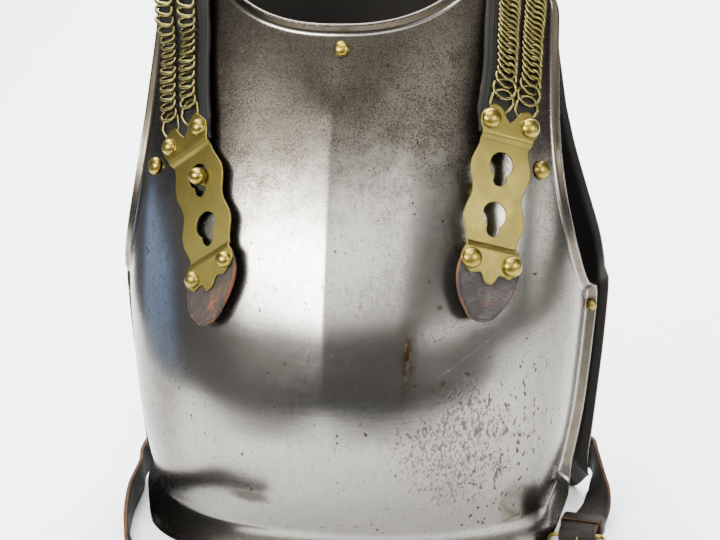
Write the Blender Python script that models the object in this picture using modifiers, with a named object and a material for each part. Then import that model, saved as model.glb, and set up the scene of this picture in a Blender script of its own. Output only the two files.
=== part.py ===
"""Steel cuirass of the heavy-cavalry kind: breastplate, backplate, chain-covered shoulder straps
with brass keyhole plates, and a leather waist belt in two halves.

Millimetres in the tables, metres in the scene. The wearer's front faces -Y, +Z is up, and the
cuirass stands on the turned-out bottom rims of its two plates.
"""
import math

import bmesh
import bpy
import numpy as np
from mathutils import Vector

MM = 0.001
NAME = "cuirass"
CUTTERS = "cutters"
GAP = 0.35                 # clearance between pieces that touch on the real object

# ---------------------------------------------------------------- the two plates
# Level sections through each plate. side_y is where the section meets the side edge, crest_y its
# foremost (or rearmost) point, and a fullness below 1 makes the curve between them squarer.
SECTION = ("height", "half_width", "side_y", "crest_y", "fullness")
BREAST_SECTIONS = (
    (0, 145, -21, -122, 0.85),
    (22, 147.5, -21, -124, 0.85),
    (50, 154, -19, -137, 0.86),
    (85, 160.5, -15, -144, 0.88),
    (127, 165, -10, -142, 0.90),
    (171, 168.8, -5, -133, 0.92),
    (213, 167, -2, -119, 0.93),
    (243, 164, 0, -108, 0.94),
    (278, 158, 2, -94, 0.94),
    (302, 153, 6, -84, 0.94),
    (342, 146, 14, -67, 0.93),
    (372, 143, 22, -53, 0.93),
    (400, 142, 32, -39, 0.93),
)
BACK_SECTIONS = (
    (0, 157, -3, 96, 0.80),
    (24, 159, -2, 93, 0.80),
    (55, 165, 2, 96, 0.80),
    (88, 168.5, 6, 101, 0.80),
    (127, 172.5, 9, 109, 0.81),
    (174, 176, 13, 118, 0.82),
    (230, 174, 14, 126, 0.86),
    (290, 168, 10, 128, 0.90),
    (350, 160, 6, 120, 0.92),
    (400, 153, 2, 100, 0.92),
    (440, 147, -2, 70, 0.92),
)

# Where the armhole edge crosses each level, from the armpit corner up to the shoulder.
ARMHOLE = ("height", "half_width")
BREAST_ARMHOLE = ((171, 168.8), (191, 163), (219, 156), (243, 150.5), (259, 147.5), (278, 144.5),
                  (302, 142), (342, 140), (366, 139.5), (390, 139))
BACK_ARMHOLE = ((174, 176), (197, 170), (226, 158), (260, 146.5), (290, 139), (334, 133), (390, 128.5),
                (430, 127))

# Ridge down the middle of the breastplate: a low keel that fades out at both ends.
KEEL_RISE = 3.0
KEEL_REACH = 46.0
KEEL_CURVE = 1.6
KEEL_SPAN = (85, 150, 325, 352)     # heights where it starts, is full, is full, and has faded

# The outline of each plate from the front: waist, armpit corner (pit), neck and shoulder, with the
# widths of its turned-out edges and the angles that they are turned through.
PLATES = {
    "breastplate": dict(
        sections=BREAST_SECTIONS, armhole=BREAST_ARMHOLE, outward=-1, wall=2.4, shift=0, keel=KEEL_RISE,
        columns=28, rows_below=8, rows_above=11, neck_share=7 / 14,
        waist=25, corner_lift=13, pit=171, neck=361.5, neck_rise=28, shoulder_out=380, flare=9,
        widths=dict(side=9.9, arm=7, shoulder=2.5, neck=8),
        turns=dict(side=78, arm=62, shoulder=20, neck=55)),
    "backplate": dict(
        sections=BACK_SECTIONS, armhole=BACK_ARMHOLE, outward=1, wall=1.5, shift=1.5, keel=0,
        columns=24, rows_below=6, rows_above=9, neck_share=6 / 12,
        waist=24, corner_lift=16, pit=174, neck=392, neck_rise=36, shoulder_out=424, flare=10,
        widths=dict(side=9, arm=7, shoulder=2.5, neck=8),
        turns=dict(side=78, arm=55, shoulder=20, neck=40)),
}
ROLLS = dict(side=2.5, arm=5, neck=5)      # outer radius of the bend at each kind of edge
ROLL_DEFAULT = 1.0
ROLL_LIMIT = 0.6           # the most of an edge's width that its bend may take up
NECK_CURVE = 2.4           # how sharply the neckline rises towards the shoulders
SHOULDER_CURVE = 1.15
CORNER_FROM = 0.84         # share of the half width where the waist starts to lift to the side corner
RIM_SLACK = 1.0            # how far the flared rims run below the floor before they are filed flat
RIM_LIFT = 26              # how far the flared rims lift at the side corners
RIM_LIFT_FROM = 0.74
FLARE_CURVE = 1.7
FLARE_RINGS = (0.35, 0.7, 1.0)
LEAST_SQUARENESS = 0.75    # keeps the inner wall from running away at the sharp corners
SMOOTH_ANGLE = 35

# ---------------------------------------------------------------- straps and belt
# Each row is a point on a strip's middle line. turn and lean aim the strip's width: 0 and 0 lay it
# along +X, turn swings it about the vertical, and lean tips it up out of the level.
ROUTE = ("along", "x", "y", "z", "turn", "lean")
SHOULDER_TOP = (                      # shared by both straps, for the wearer's +X side
    (223, 119, -11, 401, 14, -16),
    (254, 118, 9, 425, 2, -14),
    (281, 117, 34, 437, -10, -12),
    (308, 116, 59, 433, -20, -12),
    (334, 115, 71.5, 412, -27, -10),
    (361, 114, 79.5, 388, -28, -8),
    (386, 113, 87, 364, -28, -6),
)
STRAP_RIGHT = (                       # the free strap, lying on top of its stud
    (-26, 105, -130, 184, 26, -14),
    (15, 109.8, -114.6, 220.4, 25, -17),
    (48, 111.7, -101.9, 250.2, 26, -18),
    (82, 114.8, -87.4, 281.1, 27, -18),
    (111, 117.3, -72.5, 305.7, 29, -18),
    (146, 119.5, -53, 335, 31, -18),
    (177, 119, -36, 360.6, 29, -18),
    (199, 119.8, -24.5, 379.5, 22, -18),
) + SHOULDER_TOP
STRAP_LEFT = (                        # the strap that is hooked on its stud, x negative
    (-26, -78.8, -128, 175.4, -10, 32),
    (15, -79.4, -114.4, 209.0, -11, 34),
    (48, -86, -101.7, 238.2, -12, 32),
    (82, -94.6, -85.6, 268.2, -15, 32),
    (111, -104.8, -70.4, 292.0, -18, 33),
    (148, -110.1, -51.4, 326.3, -22, 30),
    (181, -112.8, -36.5, 355.5, -24, 24),
    (199, -115.6, -32, 372, -20, 20),
    (223, -118.5, -17.5, 398, -15, 17),
) + tuple((along, -x, y, z, -turn, -lean) for along, x, y, z, turn, lean in SHOULDER_TOP[1:])

BELT_RIGHT = (                        # the half with the buckle, folded back round its bar
    (0, 150, 54, 33, 0, 90),
    (20, 165, 41, 33, 0, 90),
    (37, 174.5, 27, 33, 0, 90),
    (52, 177.5, 12.5, 29.5, 0, 86),
    (66, 179.3, 1.5, 20.5, 0, 72),
    (79, 179.8, -7.5, 12.8, 0, 48),
    (92, 178.3, -18, 7.6, 0, 24),
    (105, 175.8, -28.5, 5, 0, 8),
    (122, 172.4, -43.5, 4.1, 0, 0),
    (141, 169.5, -61, 4.1, 0, 0),
    (146.3, 168.8, -66.3, 4.1, 0, 0),
    (149.3, 168.5, -69.3, 5.2, 0, 0),
    (152.1, 168.4, -70.4, 7.7, 0, 0),
    (154.9, 168.5, -69.3, 10.2, 0, 0),
    (157.9, 168.8, -66.3, 11.3, 0, 0),
    (163.2, 169.5, -61, 11.3, 0, 0),
    (184, 172.3, -40, 8.3, 0, 0),
)
BELT_LEFT = (                         # the plain half: it stands on edge, then falls over to its tip
    (0, -147, 55, 24.3, 180, 90),
    (22, -165, 41, 22.3, 180, 90),
    (40, -174, 26, 19.3, 180, 90),
    (60, -175.5, 6, 15.8, 180, 90),
    (78, -171.5, -12, 13.7, 180, 90),
    (96, -169, -30, 13.6, 180, 90),
    (121, -166, -55, 13.6, 180, 90),
    (142, -162, -75, 13.6, 180, 90),
    (163, -157, -95, 13.6, 180, 90),
    (184, -151, -115, 13.6, 200, 88),
    (206, -142, -135, 13.1, 210, 76),
    (226, -131, -151, 11.3, 221, 48),
    (246, -117, -164, 5.9, 233, 16),
    (266, -100, -173, 2.4, 241, 0),
    (290, -79, -180, 2.2, 247, 0),
)
STRAP_LEATHER = 3.0
POINT = ("along", "half_width")        # the strap point under the keyhole plate's lower tab
POINT_EDGE = ((-26, 3), (-24, 7.5), (-19, 12), (-13, 16.5), (-7, 19.5), (2, 22), (9, 22.3), (15, 21),
              (22, 19))
LEATHER_FROM = 101                     # where the chain-covered leather starts, under the upper tab
LEATHER_TAPER = 18
LEATHER_END = 20.5
LEATHER_EDGES = {"r": (-24.3, 20.5), "l": (-20.5, 24.3)}   # the inner side is the wider one
BELT_LEATHER = 3.0
BELT_WIDTH = 26
BELT_TIP = 12                          # length over which the plain half tapers
BELT_TAPER = 0.6
BELT_STEP = 12                         # rows of a belt's table further apart than this get one between them

# ---------------------------------------------------------------- keyhole plates
# Distances along a plate start at the tip of its lower tongue.
PLATE_BRASS = 1.3
PLATE_WAVE = dict(half_width=20.2, swing=2.0, pitch=33.5, crest=45)   # the scalloped sides
PLATE_FOLDS = (23, 27.5, 96.5, 101)    # steps between the tabs on the leather and the lower middle
PLATE_SEAT = STRAP_LEATHER + 1.5 * GAP # height of the tabs' undersides
TAB_HALF_WIDTH = 22
TAB_NARROWEST = 19
TAB_CURVE = 0.04
TAB_BLEND = 2
TAB_RIVETS = 14.7                      # their distance from the middle line
RIVET_ROWS = (15.3, 110.6)             # and how far up the plate they sit
KEYHOLES = (48, 82)                    # centres of the round parts
KEYHOLE_RADIUS = 8.6
KEYHOLE_SLOT = 4.8                     # half width of the slot below the round part
KEYHOLE_DROP = 15
KEYHOLE_MIDDLE = 3                     # how far below the round part's centre the hole's own middle is
CUT_DEPTHS = (-4, 6)
# End edges of the plate, from its middle line (0) out to its side (1), as distances along it.
COLUMN_SHARES = (0, 0.15, 0.33, 0.52, 0.76, 1)
LOWER_EDGE = (0, 0.8, 6.8, 7, 6, 13.5)
UPPER_EDGE = (110.6, 114, 119, 121.3, 121, 112.5)

# ---------------------------------------------------------------- chain rows and back anchors
CHAIN_ROWS = {"r": {"inner": -8.5, "outer": 10.5}, "l": {"inner": 7.5, "outer": -12.5}}
CHAIN_HALF_WIDTH = 8
CHAIN_HALF_HEIGHT = 2.6
CHAIN_SPAN = (124, 350)
CHAIN_STATIONS = 17
ANCHOR_SPAN = (353, 367, 384)
ANCHOR_HALF_WIDTH = 21.5
ANCHOR_RIVETS = (-13, 13)

# ---------------------------------------------------------------- rivets, studs, buckle and keeper
RIVET = ("radius", "height", "steps")
RIVETS = {
    "plate_r": (7.3, 5.2, 10),
    "plate_l": (6.2, 5.2, 10),
    "anchor": (6.2, 4.4, 10),
    "neck": (5.6, 3.8, 10),
    "arm": (6.6, 4.6, 10),
    "side": (4, 3.2, 8),
    "belt": (5.5, 3.2, 8),
}
RIVET_DOME = ((0, 1), (0.5, 0.86), (0.86, 0.5), (1, 0), (0, 0))     # shares of the radius and the height
FRONT_RIVETS = (("neck", "neck", 3, 354), ("arm_l", "arm", -134.6, 268), ("arm_r", "arm", 138.6, 270))
SIDE_RIVET_HEIGHT = 161
SIDE_RIVET_SHARE = 0.35                # how far across the turned edge, from its bend to its rim
FRONT_RIVET_LIFT = GAP + 0.3
SIDE_RIVET_LIFT = 1.5
BELT_RIVET_AT = 12
STUD_PROFILE = ((0, 16.8), (4.8, 14.6), (6.2, 10.8), (4.8, 7.2), (2.6, 6.4), (2.6, 2.2), (5.5, 1.2), (5.5, 0),
                (0, 0))
STUD_STEPS = 10
STUD_RIGHT = (101, 262)                # hidden under the free strap
STUD_IN_KEYHOLE = KEYHOLES[1] - 2.0    # how far up the hooked plate the other stud comes through
STUD_ASIDE = 2.8                       # and how far beside the plate's middle line
BUCKLE = dict(x=168.5, back=-66.8, front=-97, half_width=19.5, bar=1.4, corner=5, bend=1.5,
              height=7.7, front_height=3.2)
PRONG = dict(radius=1.4, heel_y=-73.5, heel=9.2, knee_y=-82, knee=8.2, rest_y=-94, rise=0.4, tip_y=-101)
KEEPER = dict(at=128, width=11, wall=1.6, side_play=0.65, top=9.0)


# ---------------------------------------------------------------- curves and surfaces
def interpolate(table, columns, name, at):
    """Reads one column of a table at any height: cubic curves through its rows."""
    rows = np.array(table, float)
    knots = rows[:, 0]
    values = rows[:, columns.index(name)]
    slopes = np.gradient(values, knots)
    at = np.clip(at, knots[0], knots[-1])
    i = np.clip(np.searchsorted(knots, at) - 1, 0, len(knots) - 2)
    span = knots[i + 1] - knots[i]
    t = (at - knots[i]) / span
    rise = (3 - 2 * t) * t * t
    return (values[i] * (1 - rise) + values[i + 1] * rise
            + span * slopes[i] * t * (1 - t) ** 2 - span * slopes[i + 1] * t * t * (1 - t))


def smoothstep(low, high, x):
    t = np.clip((x - low) / (high - low), 0, 1)
    return t * t * (3 - 2 * t)


def unit(vectors):
    return vectors / np.linalg.norm(vectors, axis=-1, keepdims=True)


def keel(x, z):
    """The ridge's share of its full rise: highest on the middle line, between its two faded ends."""
    start, full, still_full, end = KEEL_SPAN
    height = smoothstep(start, full, z) * (1 - smoothstep(still_full, end, z))
    return height * np.clip(1 - np.abs(x) / KEEL_REACH, 0, 1) ** KEEL_CURVE


def plate_point(plate, angle, z):
    """A point of a plate's outer face. angle is 0 at the ridge or spine and 90 degrees at the side edge."""
    half_width, side, crest, fullness = (
        interpolate(plate["sections"], SECTION, name, z) for name in SECTION[1:])
    x = half_width * np.sin(angle)
    y = side + (crest - side) * np.abs(np.cos(angle)) ** fullness - plate["keel"] * keel(x, z)
    return np.stack((x + plate["shift"], y, z * np.ones_like(x)), -1)


def plate_normal(plate, angle, z):
    """The outward direction of a plate's face, from points a little way off on every side."""
    step = 0.01
    angle = np.clip(angle, 2 * step - math.pi / 2, math.pi / 2 - 2 * step)
    over = plate_point(plate, angle + step, z) - plate_point(plate, angle - step, z)
    rise = plate_point(plate, angle, z + 0.5) - plate_point(plate, angle, z - 0.5)
    return unit(np.cross(over, rise) * -plate["outward"])


def edge_angle(plate, z):
    """Angle at which the plate ends at a level: 90 degrees down the side, less beside the armhole."""
    full = interpolate(plate["sections"], SECTION, "half_width", z)
    cut = interpolate(plate["armhole"], ARMHOLE, "half_width", z)
    return np.where(z <= plate["pit"], math.pi / 2, np.arcsin(np.clip(cut / full, 0, 1)))


def plate_grid(plate):
    """Outer face of a plate as a grid of points: rows from the waist up, columns from right to left."""
    across = np.linspace(-1, 1, plate["columns"] + 1)[None, :]
    share = np.abs(across)
    bottom = plate["waist"] + plate["corner_lift"] * smoothstep(CORNER_FROM, 1.0, share)
    neck = plate["neck"] + plate["neck_rise"] * (share / plate["neck_share"]) ** NECK_CURVE
    along = np.clip((share - plate["neck_share"]) / (1 - plate["neck_share"]), 0, 1)
    inner = plate["neck"] + plate["neck_rise"]
    shoulder = inner + (plate["shoulder_out"] - inner) * along ** SHOULDER_CURVE
    top = np.where(share < plate["neck_share"], neck, shoulder)
    corner = plate["waist"] + plate["corner_lift"]
    pit = (plate["pit"] - corner) / (plate["shoulder_out"] - corner)
    up = np.concatenate((np.linspace(0, pit, plate["rows_below"] + 1),
                         np.linspace(pit, 1, plate["rows_above"] + 1)[1:]))[:, None]
    z = bottom + up * (top - bottom)
    angle = across * edge_angle(plate, corner + up * (plate["shoulder_out"] - corner))
    return plate_point(plate, angle, z), plate_normal(plate, angle, z)


def rim_walk(plate, rows, columns):
    """Grid positions once round the edge, each with the name of the edge that it lies on."""
    pit = plate["rows_below"]
    neck_from = round((1 - plate["neck_share"]) * plate["columns"] / 2)
    walk = [(0, j, "waist") for j in range(columns)]
    walk += [(i, columns - 1, "side" if i <= pit else "arm") for i in range(1, rows)]
    for j in range(columns - 2, 0, -1):
        walk.append((rows - 1, j, "neck" if neck_from <= j <= columns - 1 - neck_from else "shoulder"))
    walk += [(i, 0, "side" if i <= pit else "arm") for i in range(rows - 1, 0, -1)]
    return walk


def turned_edge(plate, points, normals):
    """Rings of points that carry the plate's edge outward: a tight roll, then a straight strip."""
    rows, columns = points.shape[:2]
    walk = rim_walk(plate, rows, columns)
    ii = np.array([w[0] for w in walk])
    jj = np.array([w[1] for w in walk])
    edge = [w[2] for w in walk]
    at = points[ii, jj]
    normal = normals[ii, jj]
    away = np.cross(unit(np.roll(at, -1, 0) - at), normal)
    away *= np.sign(np.sum(away * (at - points.reshape(-1, 3).mean(0))))
    before = np.roll(away, 1, 0)
    mitre = (away + before) / np.maximum(1 + np.sum(away * before, 1, keepdims=True), 1.2)
    width = np.array([plate["widths"].get(name, 0) for name in edge])[:, None]
    turn = np.radians([plate["turns"].get(name, 0) for name in edge])[:, None]
    tight = np.array([ROLLS.get(name, ROLL_DEFAULT) for name in edge])[:, None]
    roll = np.minimum(tight, ROLL_LIMIT * width / np.maximum(turn, 0.1))
    rings = []
    for part in (0.5, 1.0):
        bend = turn * part
        rings.append(at + roll * (np.sin(bend) * mitre + (1 - np.cos(bend)) * normal))
    rings.append(rings[-1] + (width - roll * turn) * (np.cos(turn) * mitre + np.sin(turn) * normal))
    flare_waist(plate, rings, at, normal, np.array(edge) == "waist", np.abs(np.linspace(-1, 1, columns))[jj])
    corners = [k for k, w in enumerate(walk) if w[0] == 0 and w[1] in (0, columns - 1)]
    for ring in rings:
        ease_corners(ring, at, corners)
    return walk, rings


def flare_waist(plate, rings, at, normal, waist, share):
    """The waist runs down to the floor and out, and its rim lifts towards the side corners."""
    level = unit(normal * (1, 1, 0))
    foot = -RIM_SLACK + RIM_LIFT * smoothstep(RIM_LIFT_FROM, 1.0, share)
    for ring, part in zip(rings, FLARE_RINGS):
        out = at + level * plate["flare"] * part ** FLARE_CURVE
        out[:, 2] = at[:, 2] + (foot - at[:, 2]) * part
        ring[waist] = out[waist]


def ease_corners(ring, at, corners, reach=3, passes=3):
    """Evens out the flare and the side strips round the bottom corners."""
    shift = ring - at
    for _ in range(passes):
        eased = 0.25 * np.roll(shift, 1, 0) + 0.5 * shift + 0.25 * np.roll(shift, -1, 0)
        for corner in corners:
            near = [(corner + k) % len(ring) for k in range(-reach, reach + 1)]
            shift[near] = eased[near]
    ring[:] = at + shift


# ---------------------------------------------------------------- objects and materials
def material(name, colour, roughness, metallic):
    mat = bpy.data.materials.new(name)
    mat.use_nodes = True
    shader = mat.node_tree.nodes["Principled BSDF"]
    shader.inputs["Base Color"].default_value = (*colour, 1)
    shader.inputs["Roughness"].default_value = roughness
    shader.inputs["Metallic"].default_value = metallic
    return mat


def new_object(name, vertices, faces, mat, smooth=True, collection=NAME):
    mesh = bpy.data.meshes.new(name)
    mesh.from_pydata([tuple(v) for v in vertices], [], faces)
    mesh.validate()
    bm = bmesh.new()
    bm.from_mesh(mesh)
    bmesh.ops.recalc_face_normals(bm, faces=bm.faces)
    if bm.calc_volume(signed=True) < 0:
        bmesh.ops.reverse_faces(bm, faces=bm.faces)
    bm.to_mesh(mesh)
    bm.free()
    if smooth:
        mesh.shade_smooth()
        mesh.set_sharp_from_angle(angle=math.radians(SMOOTH_ANGLE))
    mesh.materials.append(mat)
    obj = bpy.data.objects.new(name, mesh)
    bpy.data.collections[collection].objects.link(obj)
    return obj


def ring_faces(rows, sides, closed=False):
    """Quads between rings of points that follow each other, with end faces unless the rings close."""
    faces = []
    for k in range(rows if closed else rows - 1):
        here, there = k * sides, (k + 1) % rows * sides
        for i in range(sides):
            after = (i + 1) % sides
            faces.append((here + i, here + after, there + after, there + i))
    if not closed:
        faces += [tuple(range(sides)), tuple((rows - 1) * sides + i for i in range(sides))]
    return faces


# ---------------------------------------------------------------- breastplate and backplate
def make_plate(name, mat):
    plate = PLATES[name]
    points, normals = plate_grid(plate)
    rows, columns = points.shape[:2]
    walk, rings = turned_edge(plate, points, normals)
    vertices = list(points.reshape(-1, 3))
    faces = [(i * columns + j, i * columns + j + 1, (i + 1) * columns + j + 1, (i + 1) * columns + j)
             for i in range(rows - 1) for j in range(columns - 1)]
    inner = [i * columns + j for i, j, _ in walk]
    for ring in rings:
        outer = list(range(len(vertices), len(vertices) + len(ring)))
        vertices += list(ring)
        for k in range(len(ring)):
            n = (k + 1) % len(ring)
            faces.append((inner[n], inner[k], outer[k], outer[n]))
        inner = outer
    return walled(name, np.array(vertices), np.array(faces), inner, plate, mat)


def walled(name, outer, faces, rim, plate, mat):
    """Gives a sheet its wall. What runs below the floor is filed flat, on both faces."""
    diagonals = np.cross(outer[faces[:, 2]] - outer[faces[:, 0]], outer[faces[:, 3]] - outer[faces[:, 1]])
    if diagonals[len(faces) // 3, 1] * plate["outward"] < 0:
        diagonals = -diagonals
        faces = faces[:, ::-1]
    normal = np.zeros_like(outer)
    for corner in range(4):
        np.add.at(normal, faces[:, corner], diagonals)
    normal = unit(normal)
    squareness = np.ones(len(outer))
    for corner in range(4):
        lean = np.sum(unit(diagonals) * normal[faces[:, corner]], axis=1)
        np.minimum.at(squareness, faces[:, corner], lean)
    inner = outer - normal * (plate["wall"] / np.maximum(squareness, LEAST_SQUARENESS))[:, None]
    below = outer[:, 2] < 0
    outer = outer.copy()
    outer[below, 2] = 0
    inner[below, 2] = 0
    inner[:, 2] = np.maximum(inner[:, 2], 0)
    count = len(outer)
    edge = [(a, b, b + count, a + count) for a, b in zip(rim, rim[1:] + rim[:1])]
    first = np.linalg.norm(outer[faces[:, 0]] - outer[faces[:, 2]], axis=1)
    second = np.linalg.norm(outer[faces[:, 1]] - outer[faces[:, 3]], axis=1)
    turned = np.where((first <= second)[:, None], faces, np.roll(faces, -1, axis=1))
    halves = np.concatenate((turned[:, [0, 1, 2]], turned[:, [0, 2, 3]]))
    return new_object(name, np.concatenate((outer, inner)) * MM,
                      [*halves.tolist(), *(halves[:, ::-1] + count).tolist(), *edge], mat)


def side_strip(name, side, z, share):
    """A point on the turned side edge of a plate and the way it faces; share runs from roll to rim."""
    plate = PLATES[name]
    walk, rings = turned_edge(plate, *plate_grid(plate))
    last = plate["columns"] if side > 0 else 0
    on_side = [k for k, w in enumerate(walk) if w[1] == last and w[0] <= plate["rows_below"]]
    on_side.sort(key=lambda k: rings[1][k][2])
    heights = [rings[1][k][2] for k in on_side]
    roll, rim, below, above = (
        np.array([np.interp(level, heights, [ring[k][axis] for k in on_side]) for axis in range(3)])
        for ring, level in ((rings[1], z), (rings[2], z), (rings[1], z - 5), (rings[1], z + 5)))
    out = unit(np.cross(rim - roll, above - below))
    return roll + (rim - roll) * share, out * np.sign(out[1] * plate["outward"])


def breast_seat(x, z, height):
    """A point above the breastplate's outer face, with the face's outward direction."""
    plate = PLATES["breastplate"]
    angle = np.arcsin(np.clip(x / interpolate(plate["sections"], SECTION, "half_width", z), -1, 1))
    out = plate_normal(plate, angle, z)
    return plate_point(plate, angle, z) + out * height, out


def seat_below(target):
    """The seat on the breastplate from which a stud points straight at a place above it."""
    x, _, z = target
    for _ in range(20):
        seat, out = breast_seat(x, z, GAP)
        miss = target - seat - out * np.dot(target - seat, out)
        x += miss[0]
        z += miss[2]
    return seat, out


# ---------------------------------------------------------------- strips that follow a route
def route_frames(table, at, square=False):
    """Places, and the across, along and outward directions, at distances along a strip's route.

    A strap's width may lie askew to its length, as turn and lean say; square=True sets it square."""
    at = np.asarray(at, float)
    x, y, z, turn, lean = (interpolate(table, ROUTE, name, at) for name in ROUTE[1:])
    ahead, behind = (np.stack([interpolate(table, ROUTE, name, at + step) for name in "xyz"], -1)
                     for step in (0.5, -0.5))
    along = unit(ahead - behind)
    turn, lean = np.radians(turn), np.radians(lean)
    across = np.stack((np.cos(lean) * np.cos(turn), np.cos(lean) * np.sin(turn), np.sin(lean)), -1)
    if square:
        across = unit(across - along * np.sum(across * along, -1, keepdims=True))
    return np.stack((x, y, z), -1), across, along, unit(np.cross(across, along))


def frame_at(table, at, square=False):
    """The same at one distance."""
    return (part[0] for part in route_frames(table, [at], square))


def sweep(name, frames, profiles, mat):
    """Carries a closed outline, given at each station as (across, out) pairs, along a route."""
    place, across, _, out = frames
    rings = [place[k] + np.outer(p[:, 0], across[k]) + np.outer(p[:, 1], out[k])
             for k, p in enumerate(profiles)]
    return new_object(name, np.concatenate(rings) * MM, ring_faces(len(rings), len(rings[0])), mat)


def make_strip(name, frames, edges, thickness, mat, lift=0.0):
    """A strip of even thickness. edges holds places across its width, from side to side, at each station."""
    profiles = [np.array([(u, lift) for u in row] + [(u, lift + thickness) for u in row[::-1]])
                for row in edges]
    return sweep(name, frames, profiles, mat)


# ---------------------------------------------------------------- keyhole plates
def plate_half_width(along):
    """Wavy between the folds, then swelling round the two rivets of each tab."""
    wave = PLATE_WAVE["half_width"] + PLATE_WAVE["swing"] * np.cos(
        2 * math.pi * (along - PLATE_WAVE["crest"]) / PLATE_WAVE["pitch"])
    from_rivets = np.minimum((along - RIVET_ROWS[0]) ** 2, (along - RIVET_ROWS[1]) ** 2)
    tab = np.maximum(TAB_HALF_WIDTH - TAB_CURVE * from_rivets, TAB_NARROWEST)
    low, _, _, high = PLATE_FOLDS
    on_tab = 1 - smoothstep(low, low + TAB_BLEND, along) + smoothstep(high - TAB_BLEND, high, along)
    return wave * (1 - on_tab) + tab * on_tab


def plate_height(along):
    """Height of the plate's underside: on the leather at both tabs, lower between them."""
    low, foot, shin, high = PLATE_FOLDS
    return PLATE_SEAT * (1 - smoothstep(low, foot, along) + smoothstep(shin, high, along))


def make_keyhole_plate(name, table, mat):
    share = np.array([-v for v in COLUMN_SHARES[:0:-1]] + list(COLUMN_SHARES))
    columns = len(share)
    low = np.interp(np.abs(share), COLUMN_SHARES, LOWER_EDGE)
    high = np.interp(np.abs(share), COLUMN_SHARES, UPPER_EDGE)
    levels = [*PLATE_FOLDS[:2], *np.linspace(34, 90, 9), *PLATE_FOLDS[2:]]
    along = np.stack((low, *(np.full(columns, level) for level in levels), high))
    across = share * plate_half_width(along)
    place, side, _, out = route_frames(table, along.ravel())
    vertices = place + across.ravel()[:, None] * side + plate_height(along.ravel())[:, None] * out
    faces = [(r * columns + c, r * columns + c + 1, (r + 1) * columns + c + 1, (r + 1) * columns + c)
             for r in range(len(along) - 1) for c in range(columns - 1)]
    plate = new_object(name, vertices * MM, faces, mat)
    face_out(plate, out[len(out) // 2])
    wall = plate.modifiers.new("sheet", "SOLIDIFY")
    wall.thickness = PLATE_BRASS * MM
    wall.offset = 1
    for number, centre in enumerate(KEYHOLES, 1):
        cut = plate.modifiers.new(f"keyhole_{number}", "BOOLEAN")
        cut.operation = "DIFFERENCE"
        cut.solver = "EXACT"
        cut.object = keyhole_cutter(f"{name}_cutter_{number}", table, centre, mat)
    return plate


def face_out(obj, outward):
    """Turns an open sheet over if it faces against the given direction."""
    bm = bmesh.new()
    bm.from_mesh(obj.data)
    bm.faces.ensure_lookup_table()
    if bm.faces[len(bm.faces) // 2].normal.dot(Vector(outward)) < 0:
        bmesh.ops.reverse_faces(bm, faces=bm.faces)
        bm.to_mesh(obj.data)
    bm.free()


def keyhole_outline():
    """A round hole with a slot running down from it, as (across, along) pairs about its middle."""
    start = math.asin(KEYHOLE_SLOT / KEYHOLE_RADIUS)
    turns = np.linspace(-math.pi / 2 + start, 3 * math.pi / 2 - start, 11)
    ring = [(KEYHOLE_RADIUS * math.cos(a), KEYHOLE_MIDDLE + KEYHOLE_RADIUS * math.sin(a)) for a in turns]
    foot = KEYHOLE_MIDDLE - KEYHOLE_DROP + KEYHOLE_SLOT
    end = [(-KEYHOLE_SLOT * math.cos(a), foot - KEYHOLE_SLOT * math.sin(a))
           for a in np.linspace(0, math.pi, 5)]
    return ring + end


def keyhole_cutter(name, table, centre, mat):
    place, side, along, out = frame_at(table, centre - KEYHOLE_MIDDLE)
    outline = keyhole_outline()
    vertices = [place + u * side + v * along + depth * out for depth in CUT_DEPTHS for u, v in outline]
    cutter = new_object(name, np.array(vertices) * MM, ring_faces(2, len(outline)), mat, False, CUTTERS)
    cutter.hide_render = True
    cutter.display_type = "WIRE"
    return cutter


# ---------------------------------------------------------------- small turned pieces
def aim(place, outward):
    """A matrix that stands a piece on a point, its own +Z along the outward direction."""
    turn = Vector(outward).to_track_quat("Z", "Y").to_matrix().to_4x4()
    turn.translation = Vector(place) * MM
    return turn


def turned(name, profile, steps, place, outward, mat):
    """Turns a profile of (radius, height) pairs, from its top down its outer side, about an axis."""
    points = [(r * MM, 0, h * MM) for r, h in profile]
    mesh = bpy.data.meshes.new(name)
    mesh.from_pydata(points, [(i, i + 1) for i in range(len(points) - 1)], [])
    mesh.materials.append(mat)
    obj = bpy.data.objects.new(name, mesh)
    bpy.data.collections[NAME].objects.link(obj)
    screw = obj.modifiers.new("turned", "SCREW")
    screw.steps = screw.render_steps = steps
    screw.use_merge_vertices = True
    screw.merge_threshold = 0.0001
    screw.use_smooth_shade = True
    obj.matrix_world = aim(place, outward)
    return obj


def make_rivet(name, kind, place, outward, mat):
    """A low dome with a flat underside, its rim level with the given point."""
    radius, height, steps = RIVETS[kind]
    dome = [(radius * r, height * h) for r, h in RIVET_DOME]
    return turned(name, dome, steps, place, outward, mat)


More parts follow.
